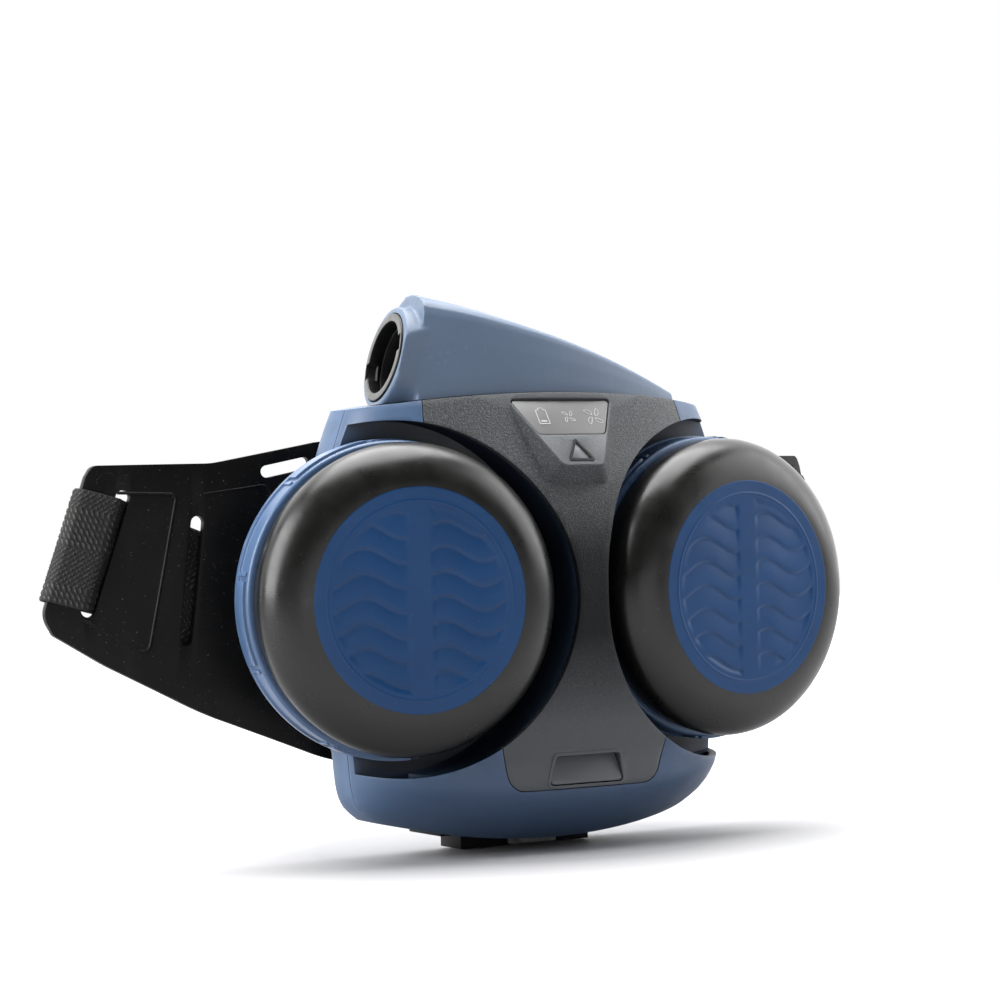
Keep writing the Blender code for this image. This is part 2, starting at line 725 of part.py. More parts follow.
def make_media(name, mount):
    """The pleated pack: parallel folds on the face of a round block."""
    r = MOUTH_R - 0.4 * MM
    half = r + 1 * MM
    pitch = 2 * half / PLEAT_COUNT
    outline = [(half, -29.4 * MM), (-half, -29.4 * MM)]
    for k in range(PLEAT_COUNT):
        outline.append((-half + k * pitch, -(15.6 * MM + PLEAT_DEPTH)))
        outline.append((-half + (k + 0.5) * pitch, -15.6 * MM))
    outline.append((half, -(15.6 * MM + PLEAT_DEPTH)))
    media = prism(f"{name}_filter_media", outline, -half, half, "pad_white", parent=mount)
    block_profile = [(0, 0), (r, 0), (r, -40 * MM), (0, -40 * MM)]
    round_block = turned_solid(f"{name}_media_block", block_profile, parent=mount)
    keep(media, round_block)


def make_holder(name, mount):
    """The pre-filter holder: a domed ring, the disc set in its middle, and the pad behind them."""
    wide = HOLDER_R - HOLDER_CROWN_R
    dome = arc(HOLDER_CROWN_R, -HOLDER_RISE, wide, HOLDER_RISE, 84, 0, 5)
    inside = arc(HOLDER_CROWN_R, -HOLDER_RISE, wide - HOLDER_WALL, HOLDER_RISE - 4.6 * MM, 0, 90, 3)
    ledge = 35 * MM
    profile = [(ledge, -2.6 * MM), (dome[0][0], -2.6 * MM)] + dome
    profile += [(HOLDER_SKIRT_R, -20 * MM), (HOLDER_SKIRT_R - HOLDER_WALL, -20 * MM)] + inside
    profile += [(ledge, -4.6 * MM)]
    turned(f"{name}_prefilter_holder", profile, "holder_black", mount)
    disc = [(0, 0), (DISC_R, 0), (DISC_R, -DISC_THICK), (0, -DISC_THICK)]
    turned_solid(f"{name}_prefilter_disc", disc, "filter_blue", mount)
    pad = [(0, -10.6 * MM), (PAD_R, -10.6 * MM), (PAD_R, -13.6 * MM), (0, -13.6 * MM)]
    turned_solid(f"{name}_prefilter_pad", pad, "pad_white", mount)


def make_socket(name, mount):
    """What a cartridge's neck goes into: a flanged ring through the well's floor, and its gasket."""
    bore = NECK_R + 0.4 * MM
    flange = [(bore, -34 * MM), (28 * MM, -34 * MM), (28 * MM, -35.2 * MM), (SOCKET_R, -35.2 * MM)]
    flange += [(SOCKET_R, -42 * MM), (bore, -42 * MM)]
    turned(f"{name}_filter_socket", flange, "holder_black", mount)
    gasket = [(20.5 * MM, -32.3 * MM), (26.5 * MM, -32.3 * MM)]
    gasket += [(26.5 * MM, -33.7 * MM), (20.5 * MM, -33.7 * MM)]
    turned(f"{name}_socket_gasket", gasket, "rubber_black", mount)


# ---------------------------------------------------------------- fan


def scroll_outline(wall):
    """The fan's spiral chamber with its duct going up: (x, z) seen from the front."""
    start, end = radians(-14), radians(270)
    steps = 24
    right, top = -7 * MM - wall, 158 * MM
    outline = [(right, top)]
    for k in range(steps + 1):
        share = k / steps
        angle = start + (end - start) * share
        r = SCROLL_START_R + (SCROLL_END_R - SCROLL_START_R) * share - wall
        outline.append((r * sin(angle), FAN_Z + r * cos(angle)))
    outline[1] = (right, outline[1][1])
    outline.append((wall - SCROLL_END_R, top))
    return outline


def make_fan():
    wall = 1.6 * MM
    housing = prism("fan_housing", scroll_outline(0), SCROLL_FRONT, SCROLL_BACK, "fan_white")
    inner = [(x, z + (5 * MM if z > 150 * MM else 0)) for x, z in scroll_outline(wall)]
    cut(housing, prism("scroll_cavity", inner, SCROLL_FRONT - 5 * MM, SCROLL_BACK - wall))
    near, far = SCROLL_FRONT - 1.9 * MM, SCROLL_FRONT - 0.3 * MM
    cover = prism("fan_cover", scroll_outline(0), near, far, "fan_white")
    cut(cover, cylinder("fan_inlet", (0, -20 * MM, FAN_Z), (0, 1, 0), 40 * MM, 18 * MM, sides=32))
    motor = cylinder("fan_motor", (0, 6.5 * MM, FAN_Z), (0, 1, 0), 9.4 * MM, 12 * MM, "steel")
    cut(motor, cylinder("shaft_hole", (0, 4 * MM, FAN_Z), (0, 1, 0), 11 * MM, 1.56 * MM, sides=16))
    make_impeller()


def make_impeller():
    """Cup over the motor, flange behind, and curved blades on the flange."""
    turn = Matrix.Translation((0, 0, FAN_Z)) @ Matrix.Rotation(radians(90), 4, "X")
    hub, cup = 14.5 * MM, 13 * MM
    profile = [(0, -3.6 * MM), (hub - 2 * MM, -3.6 * MM), (hub, -5.6 * MM), (hub, -13.4 * MM)]
    profile += [(IMPELLER_R, -13.4 * MM)]
    profile += [(IMPELLER_R, -15 * MM), (cup, -15 * MM), (cup, -5.4 * MM), (1.55 * MM, -5.4 * MM)]
    profile += [(1.55 * MM, -4.6 * MM), (0, -4.6 * MM)]
    axis = axis_empty("impeller_axis", turn)
    impeller = turned_solid("impeller", profile, "fan_white", axis)
    for k in range(IMPELLER_BLADES):
        blade = prism(f"blade_{k + 1}", blade_outline(), 3.9 * MM, 14 * MM)
        turn = Matrix.Rotation(2 * pi * k / IMPELLER_BLADES, 4, "Y")
        blade.matrix_world = Matrix.Translation((0, 0, FAN_Z)) @ turn
        join(impeller, blade)
    cylinder("motor_shaft", (0, 0, -14.6 * MM), (0, 0, 1), 9.9 * MM, 1.5 * MM, "steel", 16, axis)


def blade_outline():
    """One backward-curved blade in (x, z), from the cup to the rim."""
    inner, outer, sweep, thick = 15.5 * MM, IMPELLER_R - 0.5 * MM, radians(38), 0.8 * MM
    steps = 4
    front, back = [], []
    for k in range(steps + 1):
        share = k / steps
        r = inner + (outer - inner) * share
        angle = -sweep * share ** 1.3
        half = asin(thick / r)
        front.append((r * sin(angle + half), r * cos(angle + half)))
        back.append((r * sin(angle - half), r * cos(angle - half)))
    return front + back[::-1]


# ---------------------------------------------------------------- battery


def make_battery():
    axis = axis_empty("battery_axis", Matrix.Identity(4))
    half = BATTERY_HALF_WIDTH / MM
    front, back, top = BATTERY_FRONT / MM, BATTERY_BACK / MM, BATTERY_TOP / MM
    case = box("battery_case", (-half, front, 6), (half, back, top - 2.6), "plate_black", axis)
    foot_half = FOOT_HALF_WIDTH / MM
    foot_low, foot_high = (-foot_half, FOOT_FRONT / MM, 0), (foot_half, FOOT_BACK / MM, 8)
    foot = box("battery_foot", foot_low, foot_high, parent=axis)
    bevel(foot, 1.2 * MM, 2)
    # The foot reaches up into the case, and the cells stand just above it.
    room = box("cell_room", (-half + 1, front + 1, 8.2), (half - 1, back - 1, top + 3), parent=axis)
    join(case, foot)
    cut(case, room)
    box("battery_cap", (-half, front, top - 2.3), (half, back, top), "plate_black", axis)
    middle = (BATTERY_FRONT + BATTERY_BACK) / 2
    for number in range(4):
        base = ((number - 1.5) * CELL_PITCH, middle, CELL_BOTTOM)
        cylinder(f"battery_cell_{number + 1}", base, (0, 0, 1), CELL_LENGTH, CELL_R, "cell_blue", 16, axis)
    catch = axis_empty("catch_axis", Matrix.Translation((0, 2.2 * MM, 3 * MM)))
    tab = box("battery_catch", (-9, -1.6, -2), (9, 1.2, 2.6), "key_grey", catch)
    bevel(tab, 0.5 * MM, 1)
    box("battery_terminal", (-14, 3, 75), (14, 14, 80), "panel_grey")


def make_cable():
    """The power lead from the battery's terminal up past the fan to the control board."""
    curve = bpy.data.curves.new("power_cable", "CURVE")
    curve.dimensions = "3D"
    curve.bevel_depth = 1.2 * MM
    curve.bevel_resolution = 1
    curve.use_fill_caps = True
    points = [(14.6, 9, 78), (26, 10, 79), (38.5, 11, 88), (40.5, 11, 104), (40.5, 11, 126)]
    points += [(39, 6, 141), (33, -4, 147), (25, -12, 147.5), (19.5, -17, 146)]
    spline = curve.splines.new("POLY")
    spline.points.add(len(points) - 1)
    for point, place in zip(spline.points, points):
        point.co = (*(Vector(place) * MM), 1)
    obj = bpy.data.objects.new("power_cable", curve)
    dress(obj, "rubber_black")


# ---------------------------------------------------------------- belt


def plate_y(x):
    """Depth of the plate's front face: flat behind the casing, then curving back round the wearer."""
    beyond = max(0, abs(x) - PLATE_FLAT)
    return PLATE_Y + PLATE_CURVE * beyond ** 2


def sheet(name, depth, thick, look=None):
    """A tall curved sheet that follows the plate, from a grid and Solidify."""
    reach, columns = 172 * MM, 36
    shape = bmesh.new()
    bmesh.ops.create_grid(shape, x_segments=columns, y_segments=1, size=1)
    for vert in shape.verts:
        x = vert.co.x * reach
        z = 88 * MM + vert.co.y * 80 * MM
        vert.co = (x, plate_y(x) + depth, z)
    obj = from_bmesh(name, shape, look)
    if obj.data.polygons[0].normal.y > 0:
        obj.data.flip_normals()
    solid = obj.modifiers.new("thickness", "SOLIDIFY")
    solid.thickness = thick
    solid.offset = -1
    solid.use_even_offset = True
    return obj


def plate_corners():
    """Outline of the belt plate in (x, z): slanted wing ends, a flat top, and a long rising lower edge."""
    half = [
        (48, 143, 12),
        (70, 141.5, 20),
        (107, 134.8, 30),
        (145.6, 134.8, 3),
        (147.7, 131, 3),
        (161.5, 85, 9),
        (158.5, 78.3, 3),
        (143, 67.8, 60),
        (112, 50.5, 120),
        (70, 33.4, 60),
        (40, 26, 30),
    ]
    return rounded(mirrored(half), 3)


def slot_corners(x, z, length, width, tilt):
    """A round-ended slot as (x, z) outline, its length along the tilt from vertical."""
    half = length / 2 - width / 2
    outline = []
    for k in range(12):
        angle = 2 * pi * (k + 0.5) / 12
        u = width / 2 * cos(angle)
        v = width / 2 * sin(angle) + (half if sin(angle) > 0 else -half)
        outline.append((x + u * cos(tilt) + v * sin(tilt), z - u * sin(tilt) + v * cos(tilt)))
    return outline


def make_plate():
    plate = sheet("belt_plate", 0, PLATE_THICK, "plate_black")
    keep(plate, prism("plate_outline", plate_corners(), 0, 0.1))
    for side in (-1, 1):
        name = side_name(side)
        tilt = -side * STRAP_TILT
        slots = {
            "outer": slot_corners(side * (SLIT_X - 2 * MM), SLIT_Z, STRAP_WIDTH + 5 * MM, 4.6 * MM, tilt),
            "inner": slot_corners(side * 114.6 * MM, 95.3 * MM, 44 * MM, 4.4 * MM, -side * radians(6.5)),
            "top": slot_corners(side * 81.5 * MM, 133 * MM, 18 * MM, 4.2 * MM, -side * radians(79)),
        }
        for which, outline in slots.items():
            cut(plate, prism(f"{name}_{which}_slot", outline, 0, 0.1))
    for number, (x, z) in enumerate(PLATE_SCREWS, 1):
        start = (x, 0, z)
        hole = cylinder(f"plate_screw_hole_{number}", start, (0, 1, 0), 50 * MM, SCREW_HOLE_R, sides=10)
        cut(plate, hole)


def strap_path():
    """(outward distance from the slit, depth from the plate's front face) along the folded webbing."""
    front = -0.6 * MM - STRAP_THICK / 2
    tail = PLATE_THICK + 0.8 * MM + STRAP_THICK / 2
    main = tail + STRAP_THICK + 0.4 * MM
    middle = (front + main) / 2
    reach = (main - front) / 2
    path = [(-18 * MM, tail), (-8 * MM, tail), (-5.2 * MM, tail + 0.2 * MM), (-3.2 * MM, tail - 0.8 * MM)]
    path += [(-2.0 * MM, 1.5 * MM), (-1.5 * MM, 0), (-0.5 * MM, front), (1.6 * MM, front - 0.2 * MM)]
    for k in range(7):
        angle = radians(-90 + 180 * k / 6)
        path.append((BAR_WIDTH - 0.1 * MM + reach * cos(angle) * 0.5, middle + reach * sin(angle)))
    path += [(2 * MM, main), (-8 * MM, main)]
    return path, main


def make_strap(side):
    """Webbing that folds round the wing's end bar and runs inward behind the plate to the buckle."""
    path, main = strap_path()
    out = Vector((side * cos(STRAP_TILT), 0, sin(STRAP_TILT)))
    along = Vector((-side * sin(STRAP_TILT), 0, cos(STRAP_TILT)))
    middle = Vector((side * SLIT_X, 0, SLIT_Z))
    rows = []
    for distance, depth in path:
        centre = middle + out * distance
        rows.append((centre, along, depth))
    end_x, end_z = 27 * MM, BUCKLE_Z
    start = middle + out * (-8 * MM)
    steps = 9
    for k in range(1, steps + 1):
        share = k / steps
        x = abs(start.x) + (end_x - abs(start.x)) * share
        ease = share + 0.22 * sin(pi * share)
        centre = Vector((side * x, 0, start.z + (end_z - start.z) * ease))
        upright = Vector((-side * sin(STRAP_TILT) * (1 - share), 0, 1)).normalized()
        rows.append((centre, upright, main))
    shape = bmesh.new()
    lines = []
    for centre, upright, depth in rows:
        line = []
        for k in (-1, 0, 1):
            point = centre + upright * (STRAP_WIDTH / 2 * k)
            line.append(shape.verts.new((point.x, plate_y(point.x) + depth, point.z)))
        lines.append(line)
    for first, second in zip(lines, lines[1:]):
        for i in range(2):
            shape.faces.new((first[i], first[i + 1], second[i + 1], second[i]))
    strap = from_bmesh(f"{side_name(side)}_belt_strap", shape, "webbing_black")
    solid = strap.modifiers.new("thickness", "SOLIDIFY")
    solid.thickness = STRAP_THICK
    solid.offset = 0


def make_buckle():
    """Side-release buckle behind the plate: a socket, a plug, and the plug's two sprung prongs."""
    y, z = BUCKLE_Y / MM, BUCKLE_Z / MM
    socket = box("buckle_socket", (-26, y - 4.5, z - 20), (8, y + 4.5, z + 20), "plate_black")
    cut(socket, box("buckle_room", (-19, y - 2.6, z - 17.4), (9, y + 2.6, z + 17.4)))
    cut(socket, box("buckle_windows", (-17, y - 2.6, z - 22), (-5, y + 2.6, z + 22)))
    cut(socket, box("socket_strap_slot", (-24, y - 6, z - 20 + 0.4), (-20.8, y + 6, z + 20 - 0.4)))
    plug = box("buckle_plug", (8.8, y - 4.2, z - 20), (26, y + 4.2, z + 20), "plate_black")
    join(plug, box("plug_tongue", (-12, y - 1.8, z - 3), (10, y + 1.8, z + 3)))
    cut(plug, box("plug_strap_slot", (20.8, y - 6, z - 20 + 0.4), (24, y + 6, z + 20 - 0.4)))
    for side, name in ((1, "upper"), (-1, "lower")):
        pivot_x, pivot_z = PRONG_PIVOT
        place = Matrix.Translation((pivot_x, BUCKLE_Y, BUCKLE_Z + side * pivot_z))
        mount = axis_empty(f"{name}_prong_axis", place)
        arm = [(1, -1.6, 1), (-25.6, 0.9, 1), (-25.6, 8, 2), (-16, 8, 2), (-13, 1.6, 2), (1, 1.6, 1)]
        outline = rounded(arm, 2)
        outline = [(x, z * side) for x, z in outline]
        prism(f"{name}_buckle_prong", outline, -2.2 * MM, 2.2 * MM, "plate_black", parent=mount)
        room = box(f"{name}_prong_room", (-2, -2.8, -4.4), (2.2, 2.8, 4.4), parent=mount)
        cut(plug, room)


def shade(obj):
    if obj.type == "MESH":
        obj.data.shade_smooth()
        obj.data.set_sharp_from_angle(angle=radians(35))


def stand_on_origin():
    """Moves the finished part from its seam's plane so that the foot's middle stands on the origin."""
    for obj in bpy.data.objects:
        if obj.parent is None:
            obj.location.y -= (FOOT_FRONT + FOOT_BACK) / 2


def build():
    helpers = make_helpers()
    front, rear = make_casing(helpers)
    drill_casing(front, rear)
    make_panel(helpers, front)
    make_screws()
    make_outlet(helpers, front, rear)
    for side in (-1, 1):
        make_filter(side)
        make_strap(side)
    make_fan()
    make_battery()
    make_cable()
    make_plate()
    make_buckle()
    for obj in PARTS.objects:
        shade(obj)
    stand_on_origin()


clear_scene()
PARTS = make_collection("powered_air_respirator")
CUTTERS = make_collection("cutters")
CUTTERS.hide_render = True
build()
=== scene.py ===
"""Looks of the powered air respirator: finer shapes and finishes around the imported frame.

Metres, +Z up, -Y is the side that faces away from the wearer. Outlines are given in millimetres.
"""

import json
from math import ceil, cos, pi, radians, sin, sqrt

import bmesh
import bpy
from mathutils import Matrix, Vector, noise


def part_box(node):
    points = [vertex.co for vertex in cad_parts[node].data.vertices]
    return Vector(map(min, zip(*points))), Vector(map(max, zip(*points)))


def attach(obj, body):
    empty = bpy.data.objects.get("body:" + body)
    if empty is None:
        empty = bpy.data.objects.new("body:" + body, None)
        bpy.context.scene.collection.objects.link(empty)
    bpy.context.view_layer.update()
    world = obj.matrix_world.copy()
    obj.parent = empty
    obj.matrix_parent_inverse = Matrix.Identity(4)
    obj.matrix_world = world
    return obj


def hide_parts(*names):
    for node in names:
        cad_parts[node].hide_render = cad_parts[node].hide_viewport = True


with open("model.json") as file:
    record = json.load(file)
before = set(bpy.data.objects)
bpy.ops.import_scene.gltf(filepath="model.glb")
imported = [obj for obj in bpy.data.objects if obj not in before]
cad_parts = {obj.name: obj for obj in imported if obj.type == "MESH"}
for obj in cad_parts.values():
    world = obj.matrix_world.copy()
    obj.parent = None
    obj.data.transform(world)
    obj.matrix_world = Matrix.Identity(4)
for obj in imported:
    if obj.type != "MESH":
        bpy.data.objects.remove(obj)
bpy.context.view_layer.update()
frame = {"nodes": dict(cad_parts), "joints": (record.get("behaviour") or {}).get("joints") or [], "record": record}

MM = 0.001
JOINTS = {joint["name"]: joint for joint in frame["joints"]}
MOUNTS = {mount["name"]: mount for mount in frame["record"]["mounts"]}

# Depths below are measured from the casing's seam, which stands this far ahead of the frame's origin.
SEAM = Vector((0, -13.4, 0)) * MM

# Resolution of the finer forms.
FORM_COLUMNS = 64
LEVEL_STEP = 2.6
ROUND_STEPS = 160

# Casing form, as in the frame: height, front depth at the middle, half width, back depth.
CASING_BOTTOM = 4
CASING_TOP = 156.5
SIDE_Y = 6
WALL = 2.4
FRONT_WALL = 6.5
BOTTOM_CROWN = 9
TOP_CROWN = -5
FRONT_POWER = 2.6
REAR_POWER = 3.6
LEVELS = [
    (4.0, -13.0, 65.0, 16.5),
    (9.0, -20.0, 69.5, 20.0),
    (15.0, -28.0, 71.6, 21.5),
    (22.0, -34.6, 72.4, 22.0),
    (30.0, -35.4, 73.0, 22.0),
    (38.0, -37.0, 76.5, 22.0),
    (54.0, -39.4, 81.5, 22.0),
    (70.0, -41.4, 84.6, 22.0),
    (88.0, -42.6, 85.4, 22.0),
    (106.0, -40.6, 84.6, 22.0),
    (122.0, -35.8, 81.5, 22.0),
    (138.0, -29.5, 76.8, 22.0),
    (147.0, -26.3, 74.0, 21.5),
    (156.5, -23.0, 71.0, 18.5),
]
WELL_R = 59.5
WELL_FLOOR = 35.5
SOCKET_HOLE_R = 21.75
PANEL_THICK = 2.6
SEAM_GAP = 0.3

# Control island: its face's tilt and middle.
ISLAND_TILT = radians(33.6)
ISLAND_ORIGIN = Vector((0, -30.4, 142.75)) * MM
KEY_THICK = 1.6

# Cartridge stack, measured back from the cartridge's face.
DISC_R = 37.25
HOLDER_R = 52

# Belt plate and webbing.
PLATE_FLAT = 60
PLATE_CURVE = 0.0023
PLATE_THICK = 2.5
SLIT = (144, 105.2)
STRAP_TILT = radians(17)
STRAP_WIDTH = 39
STRAP_THICK = 1.5
BUCKLE = (31, 74)


# ---------------------------------------------------------------- finishes


class Finish:
    """A Principled material whose inputs are driven by procedural nodes in the piece's own space."""

    def __init__(self, name, roughness=0.5, metallic=0.0):
        self.material = bpy.data.materials.new(name)
        self.material.use_nodes = True
        self.nodes = self.material.node_tree.nodes
        self.links = self.material.node_tree.links
        self.shader = self.nodes["Principled BSDF"]
        self.shader.inputs["Roughness"].default_value = roughness
        self.shader.inputs["Metallic"].default_value = metallic
        self.place = self.nodes.new("ShaderNodeTexCoord").outputs["Object"]

    def add(self, kind, settings=None, **inputs):
        node = self.nodes.new("ShaderNode" + kind)
        for key, value in (settings or {}).items():
            setattr(node, key, value)
        for key, value in inputs.items():
            socket = node.inputs[int(key[1:])] if key[1:].isdigit() else node.inputs[key.replace("_", " ")]
            self.feed(socket, value)
        return node

    def feed(self, socket, value):
        if isinstance(value, bpy.types.NodeSocket):
            self.links.new(value, socket)
        else:
            socket.default_value = value

    def noise(self, size, detail=3.0, stretch=None, roughness=0.5):
        """Noise whose blobs are about this many millimetres across."""
        place = self.place
        if stretch:
            mapping = self.add("Mapping", Vector=place, Scale=stretch)
            place = mapping.outputs["Vector"]
        node = self.add("TexNoise", Vector=place, Scale=1000 / size, Detail=detail, Roughness=roughness)
        return node.outputs["Fac"]

    def ramp(self, value, low, high, start=0.0, end=1.0):
        node = self.add("MapRange", Value=value)
        for key, number in (("From Min", low), ("From Max", high), ("To Min", start), ("To Max", end)):
            node.inputs[key].default_value = number
        return node.outputs["Result"]

    def blend(self, share, first, second):
        node = self.add("Mix", {"data_type": "RGBA"}, i0=share)
        self.feed(node.inputs[6], first)
        self.feed(node.inputs[7], second)
        return node.outputs[2]

    def times(self, first, second):
        return self.add("Math", {"operation": "MULTIPLY"}, i0=first, i1=second).outputs["Value"]

    def height(self):
        return self.add("SeparateXYZ", Vector=self.place).outputs["Z"]

    def specular(self, level):
        self.feed(self.shader.inputs["Specular IOR Level"], level)

    def paint(self, base, roughness):
        self.feed(self.shader.inputs["Base Color"], base)
        self.feed(self.shader.inputs["Roughness"], roughness)

    def bump(self, height, strength, distance):
        node = self.add("Bump", Height=height, Strength=strength, Distance=distance)
        self.feed(self.shader.inputs["Normal"], node.outputs["Normal"])

    def edges(self):
        """1 on outside edges, 0 on faces."""
        return self.ramp(self.add("NewGeometry").outputs["Pointiness"], 0.52, 0.58)

    def occlusion_shade(self, reach, amount):
        """Painted shade from ambient occlusion: the given amount deep in gaps and wells, falling to 0 on open
        faces.
        """
        around = self.add("AmbientOcclusion", {"samples": 8}, Distance=reach).outputs["AO"]
        return self.ramp(around, 0.35, 0.8, amount, 0)


def shade(colour, by):
    return (*[min(1, channel * by) for channel in colour], 1)


def plastic(name, colour, roughness=0.45, grain=0.12, grain_size=0.35, mottle=0.12, edge_wear_and_highlight=0.25, dust=0.0,
            specular=0.5, painted_shade_depth=0.0):
    """Moulded plastic: faint cloudiness, a fine skin texture, lighter edges (partly wear, partly painted
    highlight), some dust and, where asked, painted shade in its hollows.
    """
    made = Finish(name, roughness)
    made.specular(specular)
    cloud = made.noise(26, 4)
    base = made.blend(made.ramp(cloud, 0.3, 0.7), shade(colour, 1 - mottle), shade(colour, 1 + mottle))
    skin = made.noise(grain_size, 2)
    base = made.blend(made.ramp(skin, 0.35, 0.65, 0, 0.18), base, shade(colour, 1.5))
    # Lighter edges: partly wear, partly a painted highlight.
    base = made.blend(made.ramp(made.edges(), 0, 1, 0, edge_wear_and_highlight), base, shade(colour, 2.2))
    # Painted shade: hollows and gaps are darkened by ambient occlusion, above the foot only.
    if painted_shade_depth:
        above_foot = made.ramp(made.height(), 0.02, 0.032)
        base = made.blend(made.times(made.occlusion_shade(0.03, painted_shade_depth), above_foot), base, shade(colour, 0.05))
    if dust:
        specks = made.noise(0.7, 1)
        base = made.blend(made.ramp(specks, 0.73, 0.78, 0, dust), base, (0.35, 0.34, 0.32, 1))
    made.paint(base, made.ramp(made.noise(9, 5), 0.3, 0.7, roughness - 0.05, roughness + 0.06))
    made.bump(skin, grain, 0.00012)
    return made.material


def speckled(name, colour):
    """Sparkle-textured moulding: coarse grain above, finer towards the foot; its bright specks above are partly
    painted highlight, its foot is lightened as a painted reflection and its waist darkened as painted shade.
    """
    made = Finish(name, 0.42)
    grain = made.noise(0.55, 3, roughness=0.7)
    fine = made.noise(0.3, 2)
    cloud = made.noise(30, 3)
    base = made.blend(made.ramp(cloud, 0.3, 0.7), shade(colour, 0.9), shade(colour, 1.12))
    height = made.height()
    upper = made.ramp(height, 0.05, 0.12, 0.25, 1)
    # Bright specks, stronger higher up: partly the moulding's sparkle, partly painted highlight from the top
    # light.
    specks_and_highlight = made.times(made.ramp(grain, 0.5, 0.64), upper)
    base = made.blend(made.ramp(grain, 0.5, 0.36, 0, 0.6), base, shade(colour, 0.3))
    base = made.blend(made.ramp(specks_and_highlight, 0, 1, 0, 0.6), base, shade(colour, 4.5))
    base = made.blend(made.ramp(made.edges(), 0, 1, 0, 0.2), base, shade(colour, 2.0))
    # Painted reflection: the lower part is lightened, as if lit by the floor below.
    foot = made.ramp(height, 0.06, 0.03, 0, 0.8)
    base = made.blend(foot, base, shade(colour, 3.2))
    # Painted shade: the waist between the filters is darkened and its specular lowered.
    shaded_waist = made.times(made.ramp(height, 0.045, 0.075), made.ramp(height, 0.135, 0.1))
    base = made.blend(made.ramp(shaded_waist, 0, 1, 0, 0.85), base, shade(colour, 0.12))
    made.specular(made.ramp(shaded_waist, 0, 1, 0.5, 0.15))
    out = island_matrix().to_3x3() @ Vector((0, -1, 0))
    from_island = made.add("VectorMath", {"operation": "SUBTRACT"}, i0=made.place, i1=tuple(ISLAND_ORIGIN))
    offset = from_island.outputs["Vector"]
    proud = made.add("VectorMath", {"operation": "DOT_PRODUCT"}, i0=offset, i1=tuple(out))
    flat = made.ramp(proud.outputs["Value"], -0.0006, -0.0003)
    base = made.blend(made.ramp(flat, 0, 1, 0, 0.85), base, shade(colour, 2.3))
    made.paint(base, made.ramp(fine, 0.3, 0.7, 0.36, 0.5))
    strength = made.ramp(upper, 0, 1, 0.1, 0.8)
    made.bump(grain, strength, 0.0003)
    return made.material


def webbing(name, colour):
    """Dark yarn with a painted highlight on its bead crowns; the mesh stores how high each bead stands."""
    made = Finish(name, 0.6)
    strand = made.noise(1.1, 4)
    fibre = made.noise(0.16, 2, stretch=(1, 1, 3))
    base = made.blend(made.ramp(strand, 0.3, 0.7), shade(colour, 0.5), shade(colour, 1.1))
    crown = made.add("Attribute", {"attribute_name": "crown"}).outputs["Fac"]
    # Painted highlight: the bead crowns are lightened.
    base = made.blend(made.ramp(crown, 0.5, 0.95, 0, 0.95), base, shade(colour, 17))
    base = made.blend(made.ramp(fibre, 0.45, 0.75, 0, 0.35), base, shade(colour, 2.4))
    made.paint(base, made.ramp(crown, 0.2, 1.0, 0.8, 0.42))
    made.bump(fibre, 0.4, 0.0002)
    return made.material


def felt(name, colour):
    made = Finish(name, 0.95)
    made.shader.inputs["Sheen Weight"].default_value = 0.4
    tufts = made.noise(1.4, 6, roughness=0.7)
    threads = made.noise(0.25, 3, stretch=(1, 4, 1))
    base = made.blend(made.ramp(tufts, 0.3, 0.7), shade(colour, 0.82), shade(colour, 1.05))
    base = made.blend(made.ramp(threads, 0.5, 0.75, 0, 0.3), base, shade(colour, 0.7))
    made.paint(base, made.ramp(tufts, 0.3, 0.7, 0.85, 1.0))
    made.bump(tufts, 0.6, 0.0004)
    return made.material


def metal(name, colour, roughness=0.3):
    """Plated steel: fine brushed lines and cloudy roughness."""
    made = Finish(name, roughness, 1.0)
    lines = made.noise(0.25, 2, stretch=(1, 1, 12))
    cloud = made.noise(3, 4)
    base = made.blend(made.ramp(cloud, 0.3, 0.7), shade(colour, 0.8), shade(colour, 1.1))
    made.paint(base, made.ramp(lines, 0.3, 0.7, roughness - 0.08, roughness + 0.15))
    made.bump(lines, 0.15, 0.0001)
    return made.material


def outlet_shaded(name, colour, centre):
    """Pale moulding painted black around the outlet, as painted shade that makes the bore look dark."""
    made = Finish(name, 0.5)
    cloud = made.noise(14, 5)
    base = made.blend(made.ramp(cloud, 0.3, 0.7), shade(colour, 0.85), shade(colour, 1.1))
    away = made.add("VectorMath", {"operation": "DISTANCE"}, i0=made.place, i1=tuple(centre)).outputs["Value"]
    # Painted shade: black near the outlet, where the bore lies in shadow.
    base = made.blend(made.ramp(away, 0.05, 0.075), (0.006, 0.006, 0.006, 1), base)
    made.paint(base, made.ramp(cloud, 0.3, 0.7, 0.5, 0.75))
    made.bump(made.noise(0.4, 2), 0.08, 0.0001)
    return made.material


def collar_plastic(name, colour, axis):
    """Black moulding whose end ring, facing out along the axis, is paler."""
    made = Finish(name, 0.34)
    made.specular(0.3)
    cloud = made.noise(4, 4)
    base = made.blend(made.ramp(cloud, 0.3, 0.7), shade(colour, 0.8), shade(colour, 1.3))
    normal = made.add("NewGeometry").outputs["Normal"]
    facing = made.add("VectorMath", {"operation": "DOT_PRODUCT"}, i0=normal, i1=tuple(axis)).outputs["Value"]
    tone = made.ramp(made.noise(1.5, 4), 0.3, 0.7)
    pale_end = made.blend(tone, (0.05, 0.05, 0.048, 1), (0.09, 0.088, 0.085, 1))
    # The end ring facing out along the axis is given a paler colour.
    base = made.blend(made.ramp(facing, 0.93, 0.99), base, pale_end)
    made.paint(base, made.ramp(cloud, 0.3, 0.7, 0.3, 0.45))
    made.bump(made.noise(0.4, 2), 0.06, 0.0001)
    return made.material


